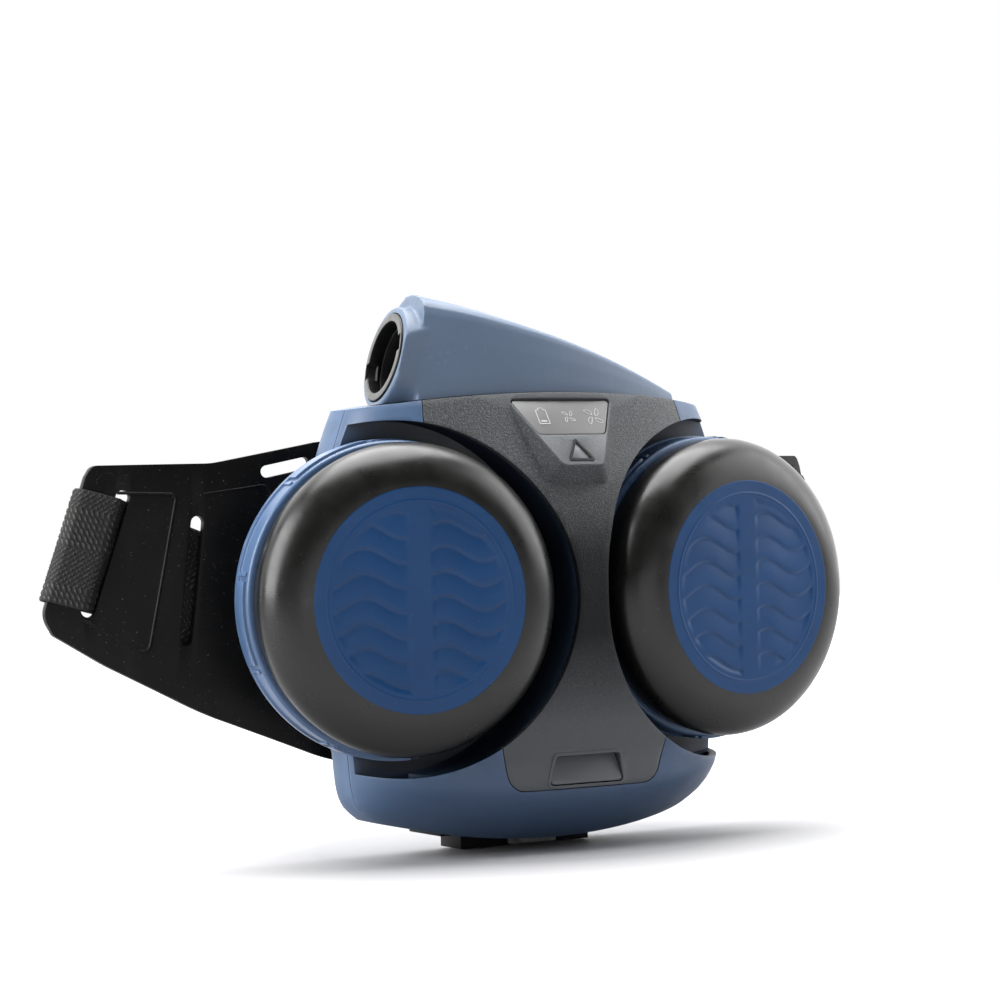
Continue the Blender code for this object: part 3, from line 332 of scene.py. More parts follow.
def rubber(name, colour):
    made = Finish(name, 0.8)
    bloom = made.noise(5, 5)
    pores = made.noise(0.4, 2)
    base = made.blend(made.ramp(bloom, 0.35, 0.7), shade(colour, 0.8), shade(colour, 1.8))
    made.paint(base, made.ramp(pores, 0.3, 0.7, 0.7, 0.9))
    made.bump(pores, 0.3, 0.0001)
    return made.material


def circuit(name):
    """Coated board: green mask over paler copper lines."""
    made = Finish(name, 0.35)
    bricks = made.add("TexBrick", Vector=made.place, Scale=420.0, Mortar_Size=0.06)
    base = made.blend(bricks.outputs["Fac"], (0.01, 0.12, 0.045, 1), (0.06, 0.3, 0.12, 1))
    base = made.blend(made.ramp(made.noise(2, 3), 0.4, 0.7, 0, 0.3), base, (0.01, 0.08, 0.03, 1))
    made.feed(made.shader.inputs["Base Color"], base)
    made.bump(bricks.outputs["Fac"], 0.2, 0.0001)
    return made.material


# ---------------------------------------------------------------- mesh helpers

CUTTERS = []


def place_object(name, mesh, finish=None):
    obj = bpy.data.objects.new(name, mesh)
    bpy.context.scene.collection.objects.link(obj)
    if finish:
        mesh.materials.append(finish)
    else:
        obj.hide_render = True
        CUTTERS.append(obj)
    return obj


def from_bmesh(name, shape, finish=None, matrix=None):
    if matrix:
        bmesh.ops.transform(shape, matrix=matrix, verts=shape.verts)
    bmesh.ops.recalc_face_normals(shape, faces=shape.faces)
    mesh = bpy.data.meshes.new(name)
    shape.to_mesh(mesh)
    shape.free()
    return place_object(name, mesh, finish)


def skin(shape, rows, ring=True, closed=False, caps=False):
    """Faces between neighbouring rows of points. A ring joins each row's own ends, closed joins the
    last row to the first, and caps fill the first row and the last."""
    count = len(rows[0])
    for here, there in list(zip(rows, rows[1:])) + ([(rows[-1], rows[0])] if closed else []):
        for i in range(count if ring else count - 1):
            j = (i + 1) % count
            shape.faces.new((here[i], here[j], there[j], there[i]))
    if caps:
        shape.faces.new(rows[0])
        shape.faces.new(rows[-1])


def bake(obj):
    """Turns an object's modifiers into its mesh, without any loose point a Boolean leaves."""
    bpy.context.view_layer.update()
    depsgraph = bpy.context.evaluated_depsgraph_get()
    mesh = bpy.data.meshes.new_from_object(obj.evaluated_get(depsgraph))
    shape = bmesh.new()
    shape.from_mesh(mesh)
    loose = [vert for vert in shape.verts if not vert.link_faces]
    if loose:
        bmesh.ops.delete(shape, geom=loose, context="VERTS")
        shape.to_mesh(mesh)
    shape.free()
    obj.modifiers.clear()
    obj.data = mesh
    return obj


def boolean(obj, operation, *others):
    for other in others:
        modifier = obj.modifiers.new(operation, "BOOLEAN")
        modifier.object = other
        modifier.operation = operation
        modifier.solver = "EXACT"
    return obj


def cut(obj, *others):
    return boolean(obj, "DIFFERENCE", *others)


def join(obj, *others):
    return boolean(obj, "UNION", *others)


def keep(obj, *others):
    return boolean(obj, "INTERSECT", *others)


def soften_edges(obj, width, segments=2, angle=32):
    """Rounds the sharp edges by a width in millimetres, after closing up slivers left by the cuts."""
    bake(obj)
    weld = obj.modifiers.new("weld", "WELD")
    weld.merge_threshold = 0.03 * MM
    modifier = obj.modifiers.new("round", "BEVEL")
    modifier.width = width * MM
    modifier.segments = segments
    modifier.limit_method = "ANGLE"
    modifier.angle_limit = radians(angle)
    modifier.use_clamp_overlap = True
    modifier.miter_outer = "MITER_ARC"
    return bake(obj)


def smooth(obj, angle=35):
    obj.data.shade_smooth()
    obj.data.set_sharp_from_angle(angle=radians(angle))
    return obj


def ride(obj, body):
    """Moves a piece from the seam's plane to the frame's origin and hangs it on its body."""
    obj.location += SEAM
    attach(obj, body)


def finish_piece(obj, body, slot, *nodes):
    """The piece rides on its body and stands for the CAD nodes, which are hidden; the slot argument is not used.
    """
    bake(obj)
    smooth(obj)
    ride(obj, body)
    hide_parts(*nodes)
    return obj


def box(name, low, high, finish=None, matrix=None):
    low, high = Vector(low) * MM, Vector(high) * MM
    shape = bmesh.new()
    bmesh.ops.create_cube(shape, size=1)
    size = Matrix.Diagonal((*(high - low), 1))
    bmesh.ops.transform(shape, matrix=Matrix.Translation((low + high) / 2) @ size, verts=shape.verts)
    return from_bmesh(name, shape, finish, matrix)


def cylinder(name, start, direction, length, r, sides=48):
    """A cylinder from a point in metres along a direction, its sizes in millimetres."""
    shape = bmesh.new()
    ends = {"radius1": r * MM, "radius2": r * MM, "depth": length * MM}
    bmesh.ops.create_cone(shape, cap_ends=True, segments=sides, **ends)
    turn = Vector(direction).to_track_quat("Z", "Y").to_matrix().to_4x4()
    place = Matrix.Translation(start) @ turn @ Matrix.Translation((0, 0, length * MM / 2))
    return from_bmesh(name, shape, None, place)


def rounded(corners, steps=5):
    """An outline in metres from corners of (x, z, radius) in millimetres, with an arc at each corner."""
    outline = []
    count = len(corners)
    for i, (x, z, radius) in enumerate(corners):
        here = Vector((x, z)) * MM
        before = Vector(corners[i - 1][:2]) * MM
        after = Vector(corners[(i + 1) % count][:2]) * MM
        if radius == 0:
            outline.append(tuple(here))
            continue
        back = (before - here).normalized()
        ahead = (after - here).normalized()
        half = back.angle(ahead) / 2
        middle = here + (back + ahead).normalized() * (radius * MM / sin(half))
        start = here + back * (radius * MM * cos(half) / sin(half)) - middle
        end = here + ahead * (radius * MM * cos(half) / sin(half)) - middle
        sweep = start.angle_signed(end)
        for k in range(steps + 1):
            turned_by = Matrix.Rotation(-sweep * k / steps, 2)
            outline.append(tuple(middle + turned_by @ start))
    return outline


def mirrored(half):
    return half + [(-x, z, r) for x, z, r in reversed(half)]


def prism(name, outline, near, far, finish=None, matrix=None):
    """An outline of (x, z) in metres, extruded along Y between two depths in millimetres."""
    shape = bmesh.new()
    face = shape.faces.new([shape.verts.new((x, near * MM, z)) for x, z in outline])
    grown = bmesh.ops.extrude_face_region(shape, geom=[face])
    moved = [item for item in grown["geom"] if isinstance(item, bmesh.types.BMVert)]
    bmesh.ops.translate(shape, verts=moved, vec=(0, (far - near) * MM, 0))
    return from_bmesh(name, shape, finish, matrix)


def lathe(name, corners, finish=None, matrix=None, steps=None, closed=True):
    """Turns an outline of (radius, height, corner radius) about local Z; an open one ends on the axis."""
    profile = rounded(corners)
    steps = steps or ROUND_STEPS
    shape = bmesh.new()
    rings = []
    for k in range(steps):
        angle = 2 * pi * k / steps
        rings.append([shape.verts.new((r * cos(angle), r * sin(angle), z)) for r, z in profile])
    skin(shape, rings, ring=closed, closed=True)
    bmesh.ops.remove_doubles(shape, verts=shape.verts, dist=1e-6)
    return from_bmesh(name, shape, finish, matrix)


def side_name(side):
    return "left" if side < 0 else "right"


def node_box(name):
    """A frame node's box, measured from the seam."""
    low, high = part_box(name)
    return low - SEAM, high - SEAM


# ---------------------------------------------------------------- casing


def resample(rows, step):
    """The rows at closer steps of their first number, along smooth curves that never overshoot."""
    slopes = []
    for before, after in zip(rows, rows[1:]):
        slopes.append([(b - a) / (after[0] - before[0]) for a, b in zip(before, after)])
    tangents = [slopes[0]]
    for before, after in zip(slopes, slopes[1:]):
        tangents.append([2 * a * b / (a + b) if a * b > 0 else 0 for a, b in zip(before, after)])
    tangents.append(slopes[-1])
    found = []
    for k, (low, high) in enumerate(zip(rows, rows[1:])):
        reach = high[0] - low[0]
        pieces = ceil(reach / step)
        for i in range(pieces):
            t = i / pieces
            rise, settle = t * t * (3 - 2 * t), (1 - t) * (1 - t)
            found.append([
                a * (1 - rise) + b * rise + reach * (t * settle * m - t * t * (1 - t) * n)
                for a, b, m, n in zip(low, high, tangents[k], tangents[k + 1])
            ])
    return found + [list(rows[-1])]


def form_row(height, front, half, back, inset, front_inset):
    """One closed level of the casing form: a blunt front curve and a squarer back curve."""
    half -= inset
    front += front_inset
    back -= inset
    share = (height - CASING_BOTTOM) / (CASING_TOP - CASING_BOTTOM)
    crown = BOTTOM_CROWN * (1 - share) ** 2 + TOP_CROWN * share ** 4
    level = CASING_BOTTOM + inset + share * (CASING_TOP - CASING_BOTTOM - 2 * inset)
    near, far = [], []
    for i in range(FORM_COLUMNS + 1):
        across = -cos(pi * i / FORM_COLUMNS)
        x, z = half * across, level + crown * across ** 2
        front_share = (1 - abs(across) ** FRONT_POWER) ** (1 / FRONT_POWER)
        back_share = (1 - abs(across) ** REAR_POWER) ** (1 / REAR_POWER)
        near.append(Vector((x, SIDE_Y - (SIDE_Y - front) * front_share, z)) * MM)
        far.append(Vector((x, SIDE_Y + (back - SIDE_Y) * back_share, z)) * MM)
    return near, far


def casing_form(name, inset=0.0, front_inset=0.0, finish=None):
    """The casing's outer form, or a copy of it shrunk by the insets, as a loft through its levels."""
    shape = bmesh.new()
    rows = []
    for height, front, half, back in resample(LEVELS, LEVEL_STEP):
        near, far = form_row(height, front, half, back, inset, front_inset)
        near_verts = [shape.verts.new(point) for point in near]
        far_verts = [near_verts[0]] + [shape.verts.new(point) for point in far[1:-1]] + [near_verts[-1]]
        rows.append((near_verts, far_verts))
    for lower, upper in zip(rows, rows[1:]):
        for lines in zip(lower, upper):
            skin(shape, lines, ring=False)
    for near_verts, far_verts in (rows[0], rows[-1]):
        for i in range(FORM_COLUMNS):
            corners = [near_verts[i], near_verts[i + 1], far_verts[i + 1], far_verts[i]]
            shape.faces.new(list(dict.fromkeys(corners)))
    return from_bmesh(name, shape, finish)


def filter_matrix(side):
    """Local Z looks out along the cartridge's axis from the middle of its face, local Y is up."""
    joint = JOINTS[f"{side_name(side)}_filter_turn"]
    out = Vector(joint["axis"]).normalized()
    up = Vector((0, 0, 1))
    turn = Matrix((up.cross(out), up, out)).transposed().to_4x4()
    return Matrix.Translation(Vector(joint["pos_m"]) - SEAM) @ turn


def well(name, side, r, floor):
    place = filter_matrix(side)
    out = place.to_3x3() @ Vector((0, 0, 1))
    return cylinder(name, place @ Vector((0, 0, -floor * MM)), out, floor + 40, r, ROUND_STEPS)


def island_matrix():
    """The control island's own frame: outlines are drawn in its X and Z, and -Y looks out of it."""
    across = Vector((1, 0, 0))
    inward = Vector((0, cos(ISLAND_TILT), -sin(ISLAND_TILT)))
    up = Vector((0, sin(ISLAND_TILT), cos(ISLAND_TILT)))
    return Matrix.Translation(ISLAND_ORIGIN) @ Matrix((across, inward, up)).transposed().to_4x4()


def island_half(v):
    return 14.6 + 0.5 * v


def key_corners(grow):
    low, high = -0.9 - grow, 13.2 + grow
    half = [
        (island_half(high) - 1.2 + grow, high, 1.2),
        (island_half(low) - 0.9 + grow, low, 2.6),
    ]
    return rounded(mirrored(half))


def lens_corners(grow):
    half, low, high = 4 + 1.7 * grow, -11.2 - grow, -4.2 + 2 * grow
    return rounded([(0, high, 0.6), (half, low, 0.6), (-half, low, 0.6)], 3)


def badge_corners(grow, corner=1.2):
    return rounded(mirrored([(12.2 + grow, 33.4 + grow, corner), (14.6 + grow, 24 - grow, corner + 0.2)]))


def panel_corners(grow):
    half = [
        (50.3 + grow, 170, 0),
        (50.6 + grow, 153, 0),
        (51.9 + grow, 144, 0),
        (51.9 + grow, 60, 0),
        (33.2 + grow, 40, 0),
        (28.6 + grow, 22.6 - grow, 7),
    ]
    return rounded(mirrored(half), 8)


def island_block():
    """A raised block whose flat face carries the key, with sides that slope out to the panel."""
    low, high, deep, spread = -13.6, 16.5, 9.0, 7.0
    foot = spread * 0.75
    face = rounded(mirrored([(island_half(high), high, 0), (island_half(low), low, 2.5)]))
    root_half = [(island_half(high) + spread, high, 0), (island_half(low) + foot, low - foot, 4)]
    root = rounded(mirrored(root_half))
    shape = bmesh.new()
    near = [shape.verts.new((x, 0, z)) for x, z in face]
    far = [shape.verts.new((x, deep * MM, z)) for x, z in root]
    skin(shape, (near, far), caps=True)
    return from_bmesh("island_block", shape, None, island_matrix())


def make_cutters():
    found = {"core": casing_form("casing_core", WALL, FRONT_WALL)}
    for side in (-1, 1):
        found["well", side] = well(f"well_{side_name(side)}", side, WELL_R, WELL_FLOOR)
        cut(found["core"], well(f"well_wall_{side_name(side)}", side, WELL_R + WALL, WELL_FLOOR + WALL))
    bake(found["core"])
    found["ahead"] = box("ahead_of_seam", (-200, -200, -50), (200, 0.12, 300))
    found["behind"] = box("behind_seam", (-200, -0.12, -50), (200, 200, 300))
    found["battery_bay"] = box("battery_bay", (-39, -2.2, -10), (39, 19.5, 74.2))
    found["air_way"] = box("air_way", (-36, -1.4, 140), (-4, 18.6, 159))
    found["stem"] = stem_hole()
    found["badge"] = prism("badge_hole", badge_corners(0.3), -60, -31)
    found["bore"] = lathe("spout_bore", [(0, 2, 0), (15.75, 2, 0), (15.75, -16, 0), (0, -16, 0)], None,
                          outlet_matrix(), closed=False)
    return found


def stem_hole():
    island = island_matrix()
    inward = island.to_3x3() @ Vector((0, 1, 0))
    return cylinder("stem_hole", island @ Vector((0, 0, 6 * MM)), inward, 11.6, 2.8, 24)


def make_casing(found, looks):
    front = casing_form("front_shell", finish=looks["casing"])
    rear = casing_form("rear_shell", finish=looks["casing"])
    pocket = prism("panel_pocket", panel_corners(SEAM_GAP), -100, -10)
    bake(cut(pocket, casing_form("under_panel", PANEL_THICK + 0.4, PANEL_THICK + 0.4)))
    cut(front, found["well", -1], found["well", 1], found["core"], found["behind"], pocket)
    cut(front, found["battery_bay"], found["air_way"], found["stem"], found["badge"], found["bore"])
    cut(rear, found["core"], found["ahead"], found["well", -1], found["well", 1])
    cut(rear, found["battery_bay"], found["air_way"], found["bore"])
    thin = casing_form("thin_wall", 2.2, 2.2)
    for side in (-1, 1):
        place = filter_matrix(side)
        inward = -(place.to_3x3() @ Vector((0, 0, 1)))
        start = place @ Vector((0, 0, (5 - WELL_FLOOR) * MM))
        hole = cylinder(f"socket_hole_{side_name(side)}", start, inward, 20, SOCKET_HOLE_R, 64)
        cut(front, hole)
        cut(rear, hole)
        low, high = sorted((side * 54, side * 90))
        sill = box(f"sill_{side_name(side)}", (low, -45, 21.5), (high, -8, 62))
        cut(front, bake(keep(sill, thin)))
    for node in ("casing", "belt_plate"):
        for number in range(1, 5):
            low, high = node_box(f"{node}_screw_{number}")
            middle = (low + high) / 2
            seat = cylinder(f"{node}_seat_{number}", (middle.x, 16.6 * MM, middle.z), (0, 1, 0), 20, 3.7, 32)
            hole = cylinder(f"{node}_hole_{number}", (middle.x, 9 * MM, middle.z), (0, 1, 0), 30, 1.9, 24)
            cut(rear, hole)
            if node == "casing":
                cut(rear, seat)
    finish_piece(soften_edges(front, 0.45), "casing", "casing_blue", "front_casing")
    finish_piece(soften_edges(rear, 0.5), "casing", "casing_blue", "rear_casing")


def make_panel(found, looks):
    panel = casing_form("panel_moulding", finish=looks["panel"])
    keep(panel, prism("panel_outline", panel_corners(0), -100, -10))
    island = bake(keep(island_block(), casing_form("above_island", 0, -30)))
    frame_rise = 0.4
    surround = prism("badge_surround", badge_corners(1.3, 1.9), -60, -20)
    bake(keep(surround, casing_form("proud", -frame_rise, -frame_rise)))
    join(panel, island, surround)
    cut(panel, casing_form("inside_panel", PANEL_THICK, PANEL_THICK), found["well", -1], found["well", 1])
    place = island_matrix()
    key_hole = prism("key_hole", key_corners(0.35), -10, 2.9, matrix=place)
    lens_hole = prism("lens_hole", lens_corners(0.2), -10, 1.4, matrix=place)
    cut(panel, key_hole, lens_hole, found["stem"], found["badge"])
    finish_piece(soften_edges(panel, 0.4), "casing", "panel_grey", "centre_panel")


# ---------------------------------------------------------------- small front pieces


def make_badge(looks):
    lean = Matrix.Translation((0, -33.7 * MM, 28.7 * MM)) @ Matrix.Rotation(radians(-9), 4, "X")
    shift = lean @ Matrix.Translation((0, 0, -28.7 * MM))
    badge = prism("badge_plate", badge_corners(0), -0.6, 0.6, looks["badge"], shift)
    finish_piece(soften_edges(badge, 0.35), "casing", "panel_grey", "name_badge")


def ribbon(name, outline, width, near, far, finish=None, matrix=None):
    """A closed band of this width inside an outline, standing between two depths."""
    points = [Vector(point) for point in outline]
    area = sum(a.x * b.y - b.x * a.y for a, b in zip(points, points[1:] + points[:1]))
    inner = []
    for i, here in enumerate(points):
        along = (points[(i + 1) % len(points)] - points[i - 1]).normalized()
        inward = Vector((-along.y, along.x)) if area > 0 else Vector((along.y, -along.x))
        inner.append(here + inward * width * MM)
    shape = bmesh.new()
    loops = []
    for line, depth in ((points, near), (inner, near), (inner, far), (points, far)):
        loops.append([shape.verts.new((p.x, depth * MM, p.y)) for p in line])
    skin(shape, loops, closed=True)
    return from_bmesh(name, shape, finish, matrix)


def leaf(centre, size, turn):
    """A fan blade's outline: a teardrop that starts near the hub and swells to one side."""
    points = []
    for k in range(20):
        angle = 2 * pi * k / 20
        reach = size * (0.56 + 0.40 * cos(angle))
        swing = size * 0.3 * sin(angle) * (0.8 + 0.3 * cos(angle)) + reach * reach / size * 0.4
        x = reach * cos(turn) - swing * sin(turn)
        z = reach * sin(turn) + swing * cos(turn)
        points.append(((centre[0] + x) * MM, (centre[1] + z) * MM))
    return points


def make_key(looks):
    place = island_matrix()
    key = prism("control_key_cap", key_corners(0), 0.2, 0.2 + KEY_THICK, looks["key"], place)
    soften_edges(key, 0.3, 3)
    inward = place.to_3x3() @ Vector((0, 1, 0))
    join(key, cylinder("key_stem", place @ Vector((0, 0.001, 0.006)), inward, 10, 2.2, 32))
    finish_piece(key, "control_key", "key_grey", "control_key")
    icons, blades = [], 4
    shown = (0.06, 0.35)
    battery = rounded(mirrored([(1, 10.1, 0.3), (1, 9.3, 0), (2.2, 9.3, 0.6), (2.2, 3.2, 0.4)]), 3)
    battery = [(x - 9.2 * MM, z) for x, z in battery]
    icons.append(ribbon("key_icon_battery", battery, 0.42, *shown, looks["icon"], place))
    level = rounded([(-10.4, 4.9, 0.2), (-8, 4.9, 0.2), (-8, 4.1, 0.2), (-10.4, 4.1, 0.2)], 2)
    icons.append(prism("key_icon_level", level, *shown, looks["icon"], place))
    for label, centre, size in (("low", (1.2, 6.4), 2.8), ("high", (11.2, 6.4), 3.9)):
        for k in range(blades):
            outline = leaf(centre, size, 2 * pi * k / blades + 0.5)
            icons.append(ribbon(f"key_icon_fan_{label}_{k + 1}", outline, 0.3, *shown, looks["icon"], place))
    for icon in icons:
        ride(smooth(icon), "control_key")


def make_lens(looks):
    place = island_matrix()
    lens = prism("lamp_lens", lens_corners(0), 0.25, 1.1, looks["badge"], place)
    finish_piece(soften_edges(lens, 0.18, 2), "casing", "lens_grey", "warning_lens")
    rim = ribbon("lamp_rim", lens_corners(0.8), 0.85, -0.25, 0.6, looks["lens"], place)
    ride(smooth(rim), "casing")


# ---------------------------------------------------------------- outlet


def outlet_matrix():
    """Local Z looks out of the hose outlet, from the middle of the spout's end."""
    axis = Vector(MOUNTS["hose_outlet"]["axis"]).normalized()
    low, high = node_box("outlet_collar")
    ring_middle = 5.7
    centre = (low + high) / 2 + axis * ring_middle * MM
    return Matrix.Translation(centre) @ axis.to_track_quat("Z", "Y").to_matrix().to_4x4()


# The hood's section: share of the way from its front to its back, and share of its full height.
COVER_SHARES = [
    (0, 0), (0.008, 0.3), (0.025, 0.6), (0.045, 0.82), (0.06, 0.88), (0.1, 0.925), (0.22, 0.968),
    (0.34, 0.99), (0.45, 1.0), (0.57, 0.99), (0.68, 0.96), (0.78, 0.91), (0.86, 0.84), (0.93, 0.75),
    (0.97, 0.66), (1, 0.5), (1, 0),
]


def cover_ridge(x):
    along = x + 47
    return 190.2 - 0.17 * along - 0.00155 * along ** 2


def cover_section(x, inset):
    """One closed section of the top cover: a steep front, a crowned top, a sloping back."""
    floor = 156.5 - 5 * (x / 71.5) ** 2 - 4
    front = -20.6 + 0.0023 * x ** 2 + inset
    back = 19.0 - inset
    rise = max(cover_ridge(x) - inset - floor, 0.6)
    lean = min(1, max(0, (-x - 12) / 39))
    points = []
    for across, up in COVER_SHARES:
        y = front + across * (back - front)
        z = floor + up * rise
        shift = lean * (0.126 * (z - 154) + 0.14 * (y + 16))
        points.append(Vector((x + shift, y, z)) * MM)
    return points


def cover_form(name, inset, drop=0.0, finish=None):
    stations = [-51 + inset, -38] + [-38 + 91.5 * k / 24 for k in range(1, 24)] + [53.5 - inset]
    shape = bmesh.new()
    rows = [[shape.verts.new(point - Vector((0, 0, drop * MM))) for point in cover_section(x, inset)]
            for x in stations]
    skin(shape, rows, caps=True)
    return from_bmesh(name, shape, finish)


def make_outlet(found, looks):
    """The hood, blended with its spout by a fine remesh and smoothing, then hollowed."""
    hood = cover_form("outlet_hood", 0, finish=looks["hood"])
    place = outlet_matrix()
    flare = [(0, 0, 0), (17.7, 0, 0.7), (18.1, -2, 0), (18.7, -6.5, 0), (19.3, -8.5, 0)]
    flare += [(19.3, -14, 0), (0, -14, 0)]
    flared = lathe("spout_flare", flare, None, place, closed=False)
    bake(keep(flared, box("behind_hood_front", (-90, -14.1, 140), (0, 18.6, 230))))
    join(hood, flared)
    bake(hood)
    remesh = hood.modifiers.new("remesh", "REMESH")
    remesh.mode = "VOXEL"
    remesh.voxel_size = 0.55 * MM
    relax = hood.modifiers.new("relax", "SMOOTH")
    relax.factor = 0.5
    relax.iterations = 4
    bake(hood)
    hollow = cover_form("cover_hollow", WALL, drop=3)
    cut(hood, hollow, found["bore"], casing_form("casing_cap", -0.25, -0.25), found["air_way"])
    finish_piece(hood, "casing", "casing_blue", "outlet_cover")
    profile = [(12.6, 0.6, 0.3), (15.4, 0.6, 0.4), (15.4, -12, 0), (12.6, -12, 0), (12.6, -4.4, 0)]
    profile += [(13.6, -4.4, 0), (13.6, -3.4, 0), (12.6, -3.4, 0)]
    collar = lathe("hose_collar", profile, looks["collar"], place)
    for number, turn in enumerate((20, 200), 1):
        spin = place @ Matrix.Rotation(radians(turn), 4, "Z")
        bake(cut(collar, box(f"collar_notch_{number}", (11, -3, -3), (14.4, 3, 2), matrix=spin)))
    finish_piece(soften_edges(collar, 0.15), "casing", "holder_black", "outlet_collar")
    lip = [(12.9, -12.3, 0.5), (15.2, -12.3, 0.3), (15.2, -14.3, 0.3), (12.9, -14.3, 0.5)]
    seal = lathe("hose_seal", lip, looks["rubber"], place)
    finish_piece(seal, "casing", "rubber_black", "outlet_seal")


# ---------------------------------------------------------------- filters


def quarter(centre_r, centre_z, wide, high, first, last, steps):
    found = []
    for k in range(steps + 1):
        angle = radians(first + (last - first) * k / steps)
        found.append((centre_r + wide * cos(angle), centre_z + high * sin(angle), 0))
    return found


def make_cartridge(side, place, looks):
    name = side_name(side)
    profile = [(46.2, -15, 0.3), (48.4, -15, 0.3), (48.4, -20.4, 0.3), (52.8, -20.4, 1.3), (52.8, -28.6, 0.2)]
    profile += [(53.5, -29, 0.2), (53.5, -31.2, 0.3), (52, -32, 0.5)]
    profile += [(18.5, -32, 1), (18.5, -39, 0.4), (15.8, -39, 0.4), (15.8, -29.8, 0)]
    profile += [(51, -29.8, 0), (51, -22.6, 0), (46.2, -22.6, 0.5)]
    shell = lathe(f"{name}_cartridge", profile, looks["filter"], place)
    pads = bmesh.new()
    first = 180 if side < 0 else 0
    for number in range(5):
        middle = first + 7 * (1 if side < 0 else -1) + 72 * number
        arc_block(pads, 52.2, 53.7, -22.2, -28.8, middle - 15, middle + 15, 14)
        for end in (-17.6, 17.6):
            arc_block(pads, 52.2, 53.4, -22.2, -28.8, middle + end - 0.7, middle + end + 0.7, 2)
    join(shell, from_bmesh(f"{name}_grip_pads", pads, None, place))
    finish_piece(soften_edges(shell, 0.2), f"{name}_filter", "filter_blue", f"{name}_filter_housing")


def arc_block(shape, inner, outer, top, bottom, first, last, steps):
    """Adds a block that follows the ring: radii, heights and angles in degrees."""
    rows = []
    for k in range(steps + 1):
        angle = radians(first + (last - first) * k / steps)
        turn = (cos(angle), sin(angle))
        corners = ((inner, top), (outer, top), (outer, bottom), (inner, bottom))
        rows.append([shape.verts.new((r * turn[0] * MM, r * turn[1] * MM, z * MM)) for r, z in corners])
    skin(shape, rows, caps=True)


def make_pleats(side, place, looks):
    """The pleated pack: parallel folds with rounded crests, cut to a round block."""
    r, base, crest, depth, folds = 45.8, -29.4, -15.7, 5.5, 26
    per = 6
    columns = folds * per
    shape = bmesh.new()
    rows = []
    for i in range(columns + 1):
        x = -r * 0.999 + 2 * r * 0.999 * i / columns
        phase = (i % per) / per
        fold = (1 - abs(2 * phase - 1)) ** 0.8
        reach = sqrt(r * r - x * x)
        top = crest - depth * (1 - fold)
        line = [(x, reach * v, top) for v in (-1, -0.5, 0, 0.5, 1)]
        line += [(x, reach * v, base) for v in (1, -1)]
        rows.append([shape.verts.new(Vector(point) * MM) for point in line])
    skin(shape, rows, caps=True)
    name = side_name(side)
    pack = from_bmesh(f"{name}_pleats", shape, looks["media"], place)
    finish_piece(pack, f"{name}_filter", "pad_white", f"{name}_filter_media")


def make_holder(side, place, looks):
    name = side_name(side)
    crown, rise, wall = 36, 12, 2
    wide = HOLDER_R - crown
    dome = quarter(crown, -rise, wide, rise, 86, 0, 22)
    inside = quarter(crown, -rise, wide - wall, rise - 4.6, 0, 90, 8)
    profile = [(DISC_R + 0.3, -2.4, 0), (DISC_R + 0.45, -0.5, 0.2)] + dome
    profile += [(51.2, -17, 0), (50.8, -20, 0.3), (48.8, -20, 0.3)] + inside + [(35, -4.6, 0), (35, -2.4, 0)]
    ring = lathe(f"{name}_prefilter_ring", profile, looks["holder"], place, ROUND_STEPS + 32)
    finish_piece(ring, f"{name}_prefilter", "holder_black", f"{name}_prefilter_holder")


def relief(x, z):
    """Height of the disc's relief, in millimetres: soft wavy steps on both sides of a plain bar."""
    r = sqrt(x * x + z * z)
    rim, bar, pitch = 32.6, 3.2, 8.1
    line = max(0, 1 - abs(r - rim) / 0.45) * 0.16
    if r > rim:
        return line
    wave = 2.65 * sin(2 * pi * (x - 1.5) / 28)
    along = (z - wave + 2) / pitch
    phase = along - int(along // 1)
    climb = 0.17
    if phase < climb:
        step = phase / climb
        height = -0.4 + 0.4 * step * step * (3 - 2 * step)
    else:
        height = -0.4 * ((phase - climb) / (1 - climb)) ** 1.5
    edge = min(1, max(0, (abs(x) - bar) / 2.2), max(0, (rim - 1.2 - r) / 2.2))
    edge = edge * edge * (3 - 2 * edge)
    return line + edge * height


def make_disc(side, place, looks):
    name = side_name(side)
    rings, spokes = ((124, 400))
    shape = bmesh.new()
    middle = shape.verts.new((0, 0, 0))
    rows = []
    for k in range(1, rings + 1):
        r = (DISC_R - 0.35) * k / rings
        rows.append([disc_point(shape, r, 2 * pi * i / spokes, relief) for i in range(spokes)])
    for r, depth in ((DISC_R - 0.1, -0.08), (DISC_R, -0.35), (DISC_R, -2.2), (0.3 * DISC_R, -2.2)):
        rows.append([disc_point(shape, r, 2 * pi * i / spokes, None, depth) for i in range(spokes)])
    for i in range(spokes):
        shape.faces.new((middle, rows[0][i], rows[0][(i + 1) % spokes]))
    skin(shape, rows)
    shape.faces.new(rows[-1])
    disc = from_bmesh(f"{name}_cap_disc", shape, looks["disc"], place)
    finish_piece(disc, f"{name}_prefilter", "filter_blue", f"{name}_prefilter_disc")


def disc_point(shape, r, angle, height, depth=0.0):
    x, y = r * cos(angle), r * sin(angle)
    z = height(x, y) if height else depth
    return shape.verts.new(Vector((x, y, z)) * MM)


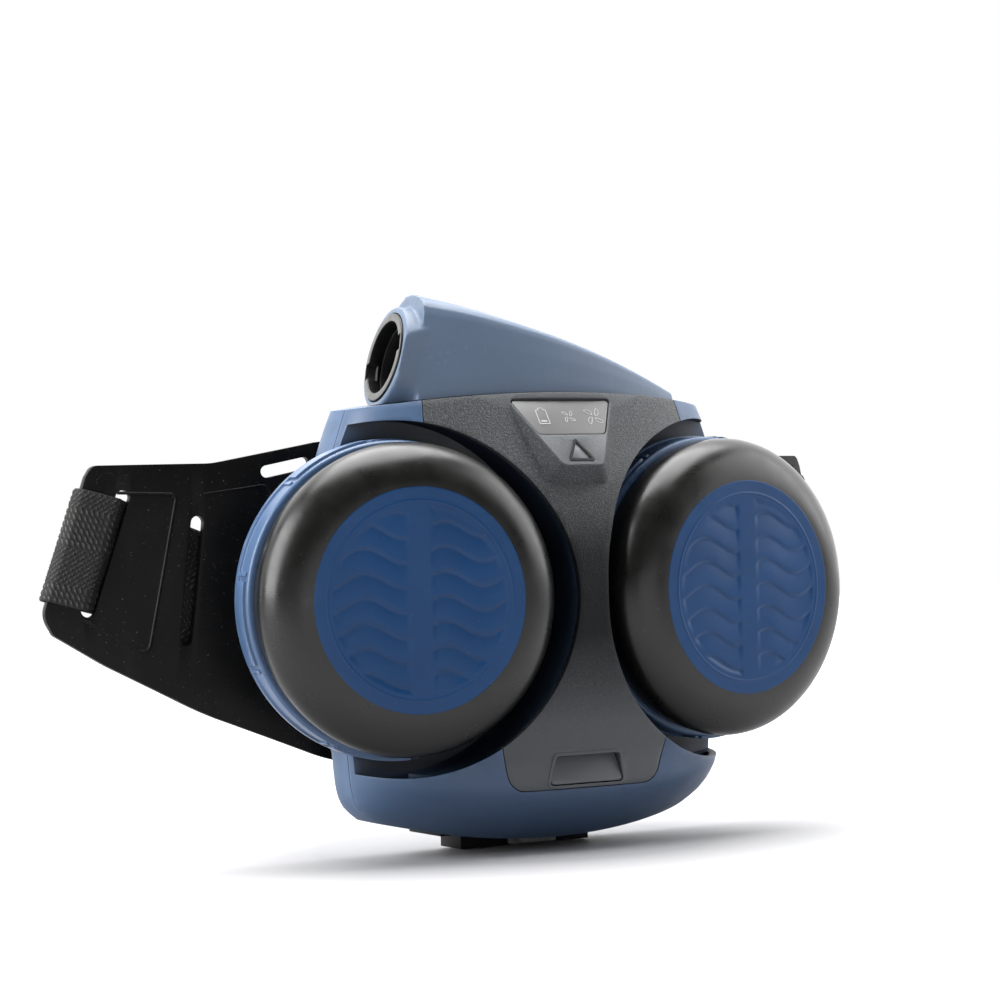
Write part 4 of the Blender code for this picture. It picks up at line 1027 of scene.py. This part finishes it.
def make_felt(side, place, looks):
    """The pre-filter pad: a felted disc, slightly crowned, with a lumpy face and a soft edge."""
    name = side_name(side)
    r, top, bottom, rings, spokes = 45.2, -10.7, -13.5, 28, 120
    shape = bmesh.new()
    rows = []
    for sign in (1, -1):
        for k in range(1, rings + 1):
            share = k / rings if sign > 0 else 1 - (k - 1) / rings
            row = []
            for i in range(spokes):
                angle = 2 * pi * i / spokes
                x, y = r * share * cos(angle), r * share * sin(angle)
                lump = noise.noise(Vector((x, y, 9 * sign)) * 0.16) * 0.22
                half = (top - bottom) / 2 * (1 - share ** 14 * 0.75)
                z = (top + bottom) / 2 + sign * half * 0.9 + lump * (1 - share ** 8)
                row.append(shape.verts.new(Vector((x, y, z)) * MM))
            rows.append(row)
    skin(shape, rows, caps=True)
    pad = from_bmesh(f"{name}_felt_pad", shape, looks["felt"], place)
    finish_piece(pad, f"{name}_prefilter", "pad_white", f"{name}_prefilter_pad")


def make_filters(looks):
    for side in (-1, 1):
        place = filter_matrix(side)
        make_cartridge(side, place, looks)
        make_pleats(side, place, looks)
        make_holder(side, place, looks)
        make_disc(side, place, looks)
        make_felt(side, place, looks)


# ---------------------------------------------------------------- belt plate


PLATE_Y = node_box("belt_plate")[0].y / MM


def plate_point(x, z, depth):
    """A point at a depth behind the plate's front face, all in millimetres."""
    beyond = max(0, abs(x) - PLATE_FLAT)
    return Vector((x, PLATE_Y + PLATE_CURVE * beyond ** 2 + depth, z)) * MM


def plate_corners():
    half = [
        (48, 143, 12),
        (70, 141.5, 20),
        (107, 134.8, 30),
        (145.6, 134.8, 3),
        (147.7, 131, 3),
        (161.5, 85, 9),
        (158.5, 78.3, 3),
        (143, 67.8, 60),
        (112, 50.5, 120),
        (70, 33.4, 60),
        (40, 26, 30),
    ]
    return rounded(mirrored(half), 8)


def slot_corners(x, z, length, width, tilt):
    half = length / 2 - width / 2
    outline = []
    for k in range(24):
        angle = 2 * pi * (k + 0.5) / 24
        u = width / 2 * cos(angle)
        v = width / 2 * sin(angle) + (half if sin(angle) > 0 else -half)
        outline.append(((x + u * cos(tilt) + v * sin(tilt)) * MM, (z - u * sin(tilt) + v * cos(tilt)) * MM))
    return outline


def bead(name, points, width, rise, looks, closed=False):
    """A low rounded rib on the plate's front face, through (x, z) points."""
    shape = bmesh.new()
    rows = []
    count = len(points)
    for i, point in enumerate(points):
        here = Vector(point)
        before = Vector(points[i - 1]) if i or closed else here
        after = Vector(points[(i + 1) % count]) if i < count - 1 or closed else here
        along = (after - before).normalized()
        across = Vector((-along.y, along.x))
        row = []
        for k in range(7):
            angle = pi * k / 6
            spot = here + across * (width / 2 * cos(angle))
            row.append(shape.verts.new(plate_point(spot.x, spot.y, 0.25 - (rise + 0.25) * sin(angle))))
        rows.append(row)
    skin(shape, rows, closed=closed, caps=not closed)
    ride(smooth(from_bmesh(name, shape, looks["plate"]), 60), "casing")


def dense(corners, step=2.0):
    """Points every few millimetres along an open line with rounded corners, in millimetres."""
    line = [Vector(point) / MM for point in rounded([(*corners[0], 0), *corners[1:-1], (*corners[-1], 0)])]
    found = []
    for start, end in zip(line, line[1:]):
        pieces = max(1, ceil((end - start).length / step))
        found += [tuple(start.lerp(end, k / pieces)) for k in range(pieces)]
    return found + [tuple(line[-1])]


def make_plate(looks):
    columns, rows = ((160, 6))
    reach, bottom, tall = 172, 8, 160
    shape = bmesh.new()
    front, back = [], []
    for i in range(columns + 1):
        x = -reach + 2 * reach * i / columns
        heights = [bottom + tall * k / rows for k in range(rows + 1)]
        front.append([shape.verts.new(plate_point(x, z, 0)) for z in heights])
        back.append([shape.verts.new(plate_point(x, z, PLATE_THICK)) for z in heights])
    skin(shape, front, ring=False)
    skin(shape, back, ring=False)
    rim = [(i, 0) for i in range(columns)] + [(columns, k) for k in range(rows)]
    rim += [(i, rows) for i in range(columns, 0, -1)] + [(0, k) for k in range(rows, 0, -1)]
    for (i, k), (m, n) in zip(rim, rim[1:] + rim[:1]):
        shape.faces.new((front[i][k], front[m][n], back[m][n], back[i][k]))
    plate = from_bmesh("wing_plate", shape, looks["plate"])
    keep(plate, prism("plate_outline", plate_corners(), 0, 100))
    for side in (-1, 1):
        name = side_name(side)
        slots = {
            "outer": slot_corners(side * (SLIT[0] - 2), SLIT[1], STRAP_WIDTH + 5, 4.6, -side * STRAP_TILT),
            "inner": slot_corners(side * 114.6, 95.3, 44, 4.4, -side * radians(6.5)),
            "top": slot_corners(side * 81.5, 133, 18, 4.2, -side * radians(79)),
        }
        for which, outline in slots.items():
            cut(plate, prism(f"{name}_{which}_slot", outline, 0, 100))
    for number in range(1, 5):
        low, high = node_box(f"belt_plate_screw_{number}")
        middle = (low + high) / 2
        cut(plate, cylinder(f"plate_hole_{number}", (middle.x, 0, middle.z), (0, 1, 0), 50, 1.9, 24))
    finish_piece(soften_edges(plate, 0.5, 3), "casing", "plate_black", "belt_plate")
    for side in (-1, 1):
        name = side_name(side)
        wing = [(side * 138, 125.5), (side * 119, 124.7, 2), (side * 129.3, 70.6, 2.5), (side * 150, 83.6)]
        bead(f"{name}_wing_rib", dense(wing), 1.1, 0.5, looks)
        pocket = dense([(side * 110, 124.5), (side * 87.6, 127.4, 3), (side * 86, 118)])
        bead(f"{name}_inner_rib", pocket, 0.8, 0.18, looks)
        for number, (x, z) in enumerate(((140.8, 129), (153.4, 80.6), (122.2, 93.9)), 1):
            angles = [2 * pi * k / 32 for k in range(32)]
            ring = [(side * x + 3.2 * cos(angle), z + 3.2 * sin(angle)) for angle in angles]
            bead(f"{name}_ejector_mark_{number}", ring, 0.35, 0.05, looks, closed=True)


# ---------------------------------------------------------------- webbing and buckle


def strap_line():
    """(outward distance from the slit, depth behind the plate's front) along the folded webbing."""
    front = -0.15 - STRAP_THICK / 2
    tail = PLATE_THICK + 0.5 + STRAP_THICK / 2
    main = tail + STRAP_THICK + 0.35
    middle, reach = (front + main) / 2, (main - front) / 2
    line = [(-18, tail), (-8, tail), (-5.2, tail - 0.1), (-3.4, tail - 1.2), (-2.2, 1.2), (-1.4, -0.2)]
    line += [(0.2, front), (4, front - 0.1), (8, front - 0.1)]
    for k in range(9):
        angle = radians(-90 + 180 * k / 8)
        line.append((10.4 + reach * cos(angle) * 0.5, middle + reach * sin(angle)))
    line += [(2, main), (-8, main)]
    return line, main


def strap_rows(side):
    """Centre, width direction and depth at each stop along the webbing, in millimetres."""
    line, main = strap_line()
    out = Vector((side * cos(STRAP_TILT), sin(STRAP_TILT)))
    along = Vector((-side * sin(STRAP_TILT), cos(STRAP_TILT)))
    middle = Vector((side * SLIT[0], SLIT[1]))
    rows = [(middle + out * distance, along, depth) for distance, depth in line]
    start = middle + out * -8
    for k in range(1, 13):
        share = k / 12
        x = abs(start.x) + (27 - abs(start.x)) * share
        ease = share + 0.22 * sin(pi * share)
        centre = Vector((side * x, start.y + (BUCKLE[1] - start.y) * ease))
        upright = Vector((-side * sin(STRAP_TILT) * (1 - share), 1)).normalized()
        rows.append((centre, upright, main))
    return rows


def weave(u, v):
    """Height of the twill at a distance across and along the webbing: rows of small slanting beads."""
    pitch, bead_length = 1.9, 1.45
    slant = abs((u / 13) % 2 - 1) * 13
    row = (v + slant * 0.9) / pitch
    float_row = 0.5 + 0.5 * cos(2 * pi * row)
    step = (u - 0.35 * v) / bead_length + 0.5 * int(row // 1)
    return float_row * (0.55 + 0.45 * cos(2 * pi * step))


def make_webbing(side, looks):
    stops = strap_rows(side)
    points = [plate_point(centre.x, centre.y, depth) / MM for centre, upright, depth in stops]
    step_along, step_across = ((0.42, 0.36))
    lines, travelled = [], 0.0
    for k, (start, end) in enumerate(zip(stops, stops[1:])):
        reach = (points[k + 1] - points[k]).length
        pieces = max(1, ceil(reach / step_along))
        for i in range(pieces):
            t = i / pieces
            centre = start[0].lerp(end[0], t)
            upright = start[1].lerp(end[1], t).normalized()
            lines.append((centre, upright, start[2] + (end[2] - start[2]) * t, travelled + reach * t))
        travelled += reach
    across = ceil(STRAP_WIDTH / step_across)
    grid = []
    for centre, upright, depth, distance in lines:
        row = []
        for k in range(across + 1):
            u = STRAP_WIDTH * (k / across - 0.5)
            spot = centre + upright * u
            row.append((plate_point(spot.x, spot.y, depth), u, distance))
        grid.append(row)
    shape = bmesh.new()
    crown = shape.verts.layers.float.new("crown")
    sheets = {1: [], -1: []}
    for i, row in enumerate(grid):
        before, after = grid[max(i - 1, 0)], grid[min(i + 1, len(grid) - 1)]
        for sign, sheet in sheets.items():
            made = []
            for k, (point, u, distance) in enumerate(row):
                along = after[k][0] - before[k][0]
                wide = row[min(k + 1, across)][0] - row[max(k - 1, 0)][0]
                normal = along.cross(wide).normalized() * side
                edge = min(1, (STRAP_WIDTH / 2 - abs(u)) / 0.8)
                bead_share = weave(u, distance + (0.8 if sign < 0 else 0))
                height = STRAP_THICK / 2 - 0.5 + 0.5 * bead_share
                vert = shape.verts.new(point + normal * sign * height * (0.35 + 0.65 * edge) * MM)
                vert[crown] = bead_share * edge
                made.append(vert)
            sheet.append(made)
    top, bottom = sheets[1], sheets[-1]
    skin(shape, top, ring=False)
    skin(shape, bottom, ring=False)
    for k in (0, across):
        for i in range(len(grid) - 1):
            shape.faces.new((top[i][k], top[i + 1][k], bottom[i + 1][k], bottom[i][k]))
    for i in (0, len(grid) - 1):
        for k in range(across):
            shape.faces.new((top[i][k], top[i][k + 1], bottom[i][k + 1], bottom[i][k]))
    name = side_name(side)
    strap = from_bmesh(f"{name}_webbing", shape, looks["webbing"])
    finish_piece(strap, "casing", "webbing_black", f"{name}_belt_strap")
    smooth(strap, 80)


def make_buckle(looks):
    """Side-release buckle behind the plate, with ribbed grips on its two sprung prongs."""
    y, z = BUCKLE
    socket = box("buckle_body", (-26, y - 4.5, z - 20), (8, y + 4.5, z + 20), looks["buckle"])
    cut(socket, box("buckle_room", (-19, y - 2.6, z - 17.4), (9, y + 2.6, z + 17.4)))
    cut(socket, box("buckle_windows", (-17, y - 2.6, z - 22), (-5, y + 2.6, z + 22)))
    cut(socket, box("socket_slot", (-24, y - 6, z - 19.6), (-20.8, y + 6, z + 19.6)))
    finish_piece(soften_edges(socket, 0.7, 3), "casing", "plate_black", "buckle_socket")
    plug = box("buckle_tongue", (8.8, y - 4.2, z - 20), (26, y + 4.2, z + 20), looks["buckle"])
    join(plug, box("plug_tongue", (-12, y - 1.8, z - 3), (10, y + 1.8, z + 3)))
    cut(plug, box("plug_slot", (20.8, y - 6, z - 19.6), (24, y + 6, z + 19.6)))
    for side, name in ((1, "upper"), (-1, "lower")):
        pivot = Vector(JOINTS[f"{name}_prong_squeeze"]["pos_m"]) - SEAM
        place = Matrix.Translation(pivot)
        cut(plug, box(f"{name}_room", (-2, -2.8, -4.4), (2.2, 2.8, 4.4), matrix=place))
        arm = [(1, -1.6, 1), (-25.6, 0.9, 1), (-25.6, 8, 2), (-16, 8, 2), (-13, 1.6, 2), (1, 1.6, 1)]
        outline = [(x, height * side) for x, height in rounded(arm)]
        prong = prism(f"{name}_prong", outline, -2.2, 2.2, looks["buckle"], place)
        soften_edges(prong, 0.35)
        for k in range(4):
            x = -24 + 2.2 * k
            low, high = sorted((side * 7.6, side * 9))
            cut(prong, box(f"{name}_rib_{k}", (x, -3, low), (x + 0.9, 3, high), matrix=place))
        finish_piece(prong, f"{name}_prong", "plate_black", f"{name}_buckle_prong")
    finish_piece(soften_edges(plug, 0.7, 3), "casing", "plate_black", "buckle_plug")


# ---------------------------------------------------------------- fasteners, battery and inner parts


def make_screws(looks):
    for node in ("casing", "belt_plate"):
        for number in range(1, 5):
            low, high = node_box(f"{node}_screw_{number}")
            middle, head = (low + high) / 2, 2.2
            length = (high.y - low.y) / MM - head - 1.6
            seat = Matrix.Translation((middle.x, high.y - head * MM, middle.z))
            place = seat @ Matrix.Rotation(-pi / 2, 4, "X")
            profile = [(0, head, 0), (2.6, head, 1.0), (3.3, 0.6, 0.5), (3.3, 0, 0.1), (1.6, 0, 0)]
            profile += [(1.6, -length, 0), (0, -length - 1.6, 0)]
            screw = lathe(f"{node}_pan_screw_{number}", profile, looks["steel"], place, 48, closed=False)
            for turn in (0, pi / 2):
                arm = place @ Matrix.Rotation(turn + 0.3 * number, 4, "Z")
                name = f"{node}_recess_{number}_{turn:.0f}"
                cut(screw, box(name, (-1.7, -0.32, 0.7), (1.7, 0.32, 3), matrix=arm))
            finish_piece(screw, "casing", "steel", f"{node}_screw_{number}")


def make_battery(looks):
    low, high = (corner / MM for corner in node_box("battery_case"))
    case = box("battery_shell", (low.x, low.y, 6), high, looks["battery"])
    foot = box("battery_foot", (-26, 6.3, 0), (26, 20.5, 8))
    join(case, foot)
    cut(case, box("cell_room", (low.x + 1, low.y + 1, 8.2), (high.x - 1, 18.1, high.z + 3)))
    for k in range(9):
        x = -24 + 6 * k
        cut(case, box(f"case_groove_{k}", (x - 0.6, low.y - 1, 20), (x + 0.6, low.y + 0.4, 60)))
    finish_piece(soften_edges(case, 0.7, 3), "battery", "plate_black", "battery_case")
    catch_low, catch_high = (corner / MM for corner in node_box("battery_catch"))
    catch = box("catch_tab", catch_low, catch_high, looks["key"])
    for k in range(5):
        x = -5 + 2.5 * k
        cut(catch, box(f"catch_rib_{k}", (x - 0.5, catch_low.y - 1, catch_low.z + 0.6),
                       (x + 0.5, catch_low.y + 0.4, catch_high.z - 0.6)))
    finish_piece(soften_edges(catch, 0.25, 3), "battery_catch", "key_grey", "battery_catch")


def dress_inner_nodes(looks):
    """The frame's own solids that stay: each gets a procedural finish."""
    shown = {
        "white": ("impeller",),
        "duct": ("fan_housing", "fan_cover"),
        "steel": ("fan_motor", "motor_shaft"),
        "board": ("control_board",),
        "collar": ("left_filter_socket", "right_filter_socket", "battery_terminal"),
        "rubber": ("left_socket_gasket", "right_socket_gasket", "power_cable"),
        "battery": ("battery_cap",),
        "cell": tuple(f"battery_cell_{number}" for number in range(1, 5)),
    }
    for look, nodes in shown.items():
        for node in nodes:
            obj = frame["nodes"][node]
            obj.data.materials.clear()
            obj.data.materials.append(looks[look])


def make_looks():
    axis = Vector(MOUNTS["hose_outlet"]["axis"]).normalized()
    return {
        # The casing carries painted shade in its wells and gaps.
        "casing": plastic("casing_blue", (0.048, 0.088, 0.165), 0.44, 0.1, mottle=0.06, edge_wear_and_highlight=0.15,
                          painted_shade_depth=0.95),
        # Painted light: the hood is the casing's blue, made lighter for the top light falling on it.
        "hood": plastic("casing_blue_lit", (0.09, 0.13, 0.195), 0.46, 0.1, mottle=0.05, edge_wear_and_highlight=0.1),
        "filter": plastic("filter_blue", (0.055, 0.1, 0.19), 0.32, 0.06, mottle=0.08),
        "disc": plastic("disc_blue", (0.006, 0.046, 0.145), 0.34, 0.05, mottle=0.1, edge_wear_and_highlight=0.1, dust=0.1,
                        specular=0.3),
        "panel": speckled("panel_grey", (0.026, 0.029, 0.032)),
        "badge": plastic("badge_grey", (0.09, 0.096, 0.105), 0.42, 0.08, mottle=0.06),
        "key": plastic("key_grey", (0.14, 0.14, 0.14), 0.36, 0.05, mottle=0.1, edge_wear_and_highlight=0.6),
        "icon": plastic("icon_pale", (0.34, 0.34, 0.34), 0.45, 0.05, edge_wear_and_highlight=0.0),
        "lens": plastic("lens_smoke", (0.012, 0.013, 0.014), 0.25, 0.02),
        "holder": plastic("holder_black", (0.005, 0.0048, 0.0043), 0.31, 0.05, mottle=0.1, edge_wear_and_highlight=0.1,
                          dust=0.1),
        "collar": collar_plastic("collar_black", (0.008, 0.008, 0.008), axis),
        "plate": plastic("plate_black", (0.0025, 0.0024, 0.0022), 0.4, 0.16, 0.5, edge_wear_and_highlight=0.6, dust=0.2,
                         specular=0.15),
        "battery": plastic("battery_black", (0.004, 0.004, 0.004), 0.45, 0.2, 0.5, specular=0.2),
        "buckle": plastic("buckle_black", (0.006, 0.006, 0.006), 0.4, 0.12, 0.4),
        "webbing": webbing("webbing_black", (0.007, 0.0067, 0.0064)),
        "rubber": rubber("seal_rubber", (0.01, 0.01, 0.01)),
        "media": felt("filter_paper", (0.75, 0.74, 0.7)),
        "felt": felt("prefilter_felt", (0.8, 0.8, 0.78)),
        "steel": metal("plated_steel", (0.55, 0.55, 0.56)),
        "white": plastic("fan_white", (0.6, 0.6, 0.57), 0.5, 0.08),
        "duct": outlet_shaded("fan_white_outlet_shade", (0.6, 0.6, 0.57), MOUNTS["hose_outlet"]["pos_m"]),
        "board": circuit("circuit_board"),
        "cell": plastic("cell_sleeve", (0.03, 0.15, 0.3), 0.3, 0.04),
    }


# ---------------------------------------------------------------- stage


def area(name, place, size, power):
    """A soft rectangular light aimed at the middle of the object."""
    light = bpy.data.lights.new(name, "AREA")
    light.shape = "RECTANGLE"
    light.size, light.size_y = size
    light.energy = power
    obj = bpy.data.objects.new(name, light)
    aim = (Vector(place) - Vector((0, 0, 0.09))).to_track_quat("Z", "Y")
    obj.matrix_world = Matrix.Translation(place) @ aim.to_matrix().to_4x4()
    bpy.context.scene.collection.objects.link(obj)


def make_camera(scene):
    """Stands at the object's own height, to the viewer's left of its front, rolled by about a degree."""
    camera = bpy.data.objects.new("camera", bpy.data.cameras.new("camera"))
    camera.data.lens = 107.04
    camera.data.sensor_width = 36
    right, up, back = (0.8586, -0.5121, -0.0238), (0.019, -0.0146, 0.9997), (-0.5123, -0.8588, -0.0028)
    stand = Matrix.Translation(Vector((-0.5377, -0.8833, 0.1173)) + SEAM)
    camera.matrix_world = stand @ Matrix((right, up, back)).transposed().to_4x4()
    scene.collection.objects.link(camera)
    scene.camera = camera


def make_backdrop(scene):
    """White to the camera; it lights the object from behind only."""
    world = bpy.data.worlds.new("studio")
    scene.world = world
    world.use_nodes = True
    nodes, links = world.node_tree.nodes, world.node_tree.links
    background = nodes["Background"]
    background.inputs["Color"].default_value = (1, 1, 1, 1)
    behind = nodes.new("ShaderNodeVectorMath")
    behind.operation = "DOT_PRODUCT"
    behind.inputs[1].default_value = (0.5, 0.85, 0)
    links.new(nodes.new("ShaderNodeTexCoord").outputs["Generated"], behind.inputs[0])
    backdrop = nodes.new("ShaderNodeMapRange")
    for key, number in (("From Min", 0.0), ("From Max", 0.45), ("To Min", 0.02), ("To Max", 2.2)):
        backdrop.inputs[key].default_value = number
    links.new(behind.outputs["Value"], backdrop.inputs["Value"])
    strength = nodes.new("ShaderNodeMix")
    links.new(nodes.new("ShaderNodeLightPath").outputs["Is Camera Ray"], strength.inputs["Factor"])
    links.new(backdrop.outputs["Result"], strength.inputs["A"])
    strength.inputs["B"].default_value = 1.0
    links.new(strength.outputs["Result"], background.inputs["Strength"])


def make_floor(scene):
    """A pale floor that fades to the white backdrop away from the object."""
    floor = bpy.data.meshes.new("floor")
    shape = bmesh.new()
    bmesh.ops.create_grid(shape, x_segments=2, y_segments=2, size=6)
    shape.to_mesh(floor)
    shape.free()
    ground = bpy.data.objects.new("floor", floor)
    ground.rotation_euler.x = radians(-1.5)
    ground.location.z = -0.0006
    scene.collection.objects.link(ground)
    look = Finish("studio_floor", 0.6)
    look.specular(0.1)
    tone = look.blend(look.ramp(look.noise(400, 2), 0.3, 0.7), (0.29, 0.29, 0.3, 1), (0.31, 0.31, 0.32, 1))
    look.feed(look.shader.inputs["Base Color"], tone)
    away = look.add("VectorMath", {"operation": "LENGTH"}, i0=look.place).outputs["Value"]
    path = look.add("LightPath").outputs
    reflected = look.ramp(path["Is Glossy Ray"], 0, 1, 0, 0.4)
    seen = look.add("Math", {"operation": "MAXIMUM"}, i0=path["Is Camera Ray"], i1=reflected)
    glow = look.times(look.ramp(away, 0.07, 0.24, 0.0, 1.0), seen.outputs["Value"])
    look.feed(look.shader.inputs["Emission Color"], (1, 1, 1, 1))
    look.feed(look.shader.inputs["Emission Strength"], glow)
    floor.materials.append(look.material)


def make_stage():
    scene = bpy.context.scene
    scene.view_settings.view_transform = "Standard"
    make_camera(scene)
    make_backdrop(scene)
    make_floor(scene)
    area("top_softbox", (0.05, 0.05, 1.1), (1.1, 0.9), 27)
    area("right_softbox", (0.6, -0.3, 0.4), (0.5, 0.5), 2.5)
    area("left_softbox", (-1.0, 0.05, 0.5), (0.7, 0.8), 17)
    area("fill_softbox", (-0.1, -1.4, 0.12), (1.0, 0.2), 1.1)


def build():
    looks = make_looks()
    found = make_cutters()
    make_casing(found, looks)
    make_panel(found, looks)
    make_badge(looks)
    make_key(looks)
    make_lens(looks)
    make_outlet(found, looks)
    make_filters(looks)
    make_plate(looks)
    for side in (-1, 1):
        make_webbing(side, looks)
    make_buckle(looks)
    make_screws(looks)
    make_battery(looks)
    dress_inner_nodes(looks)
    for cutter in CUTTERS:
        bpy.data.objects.remove(cutter)


build()
make_stage()
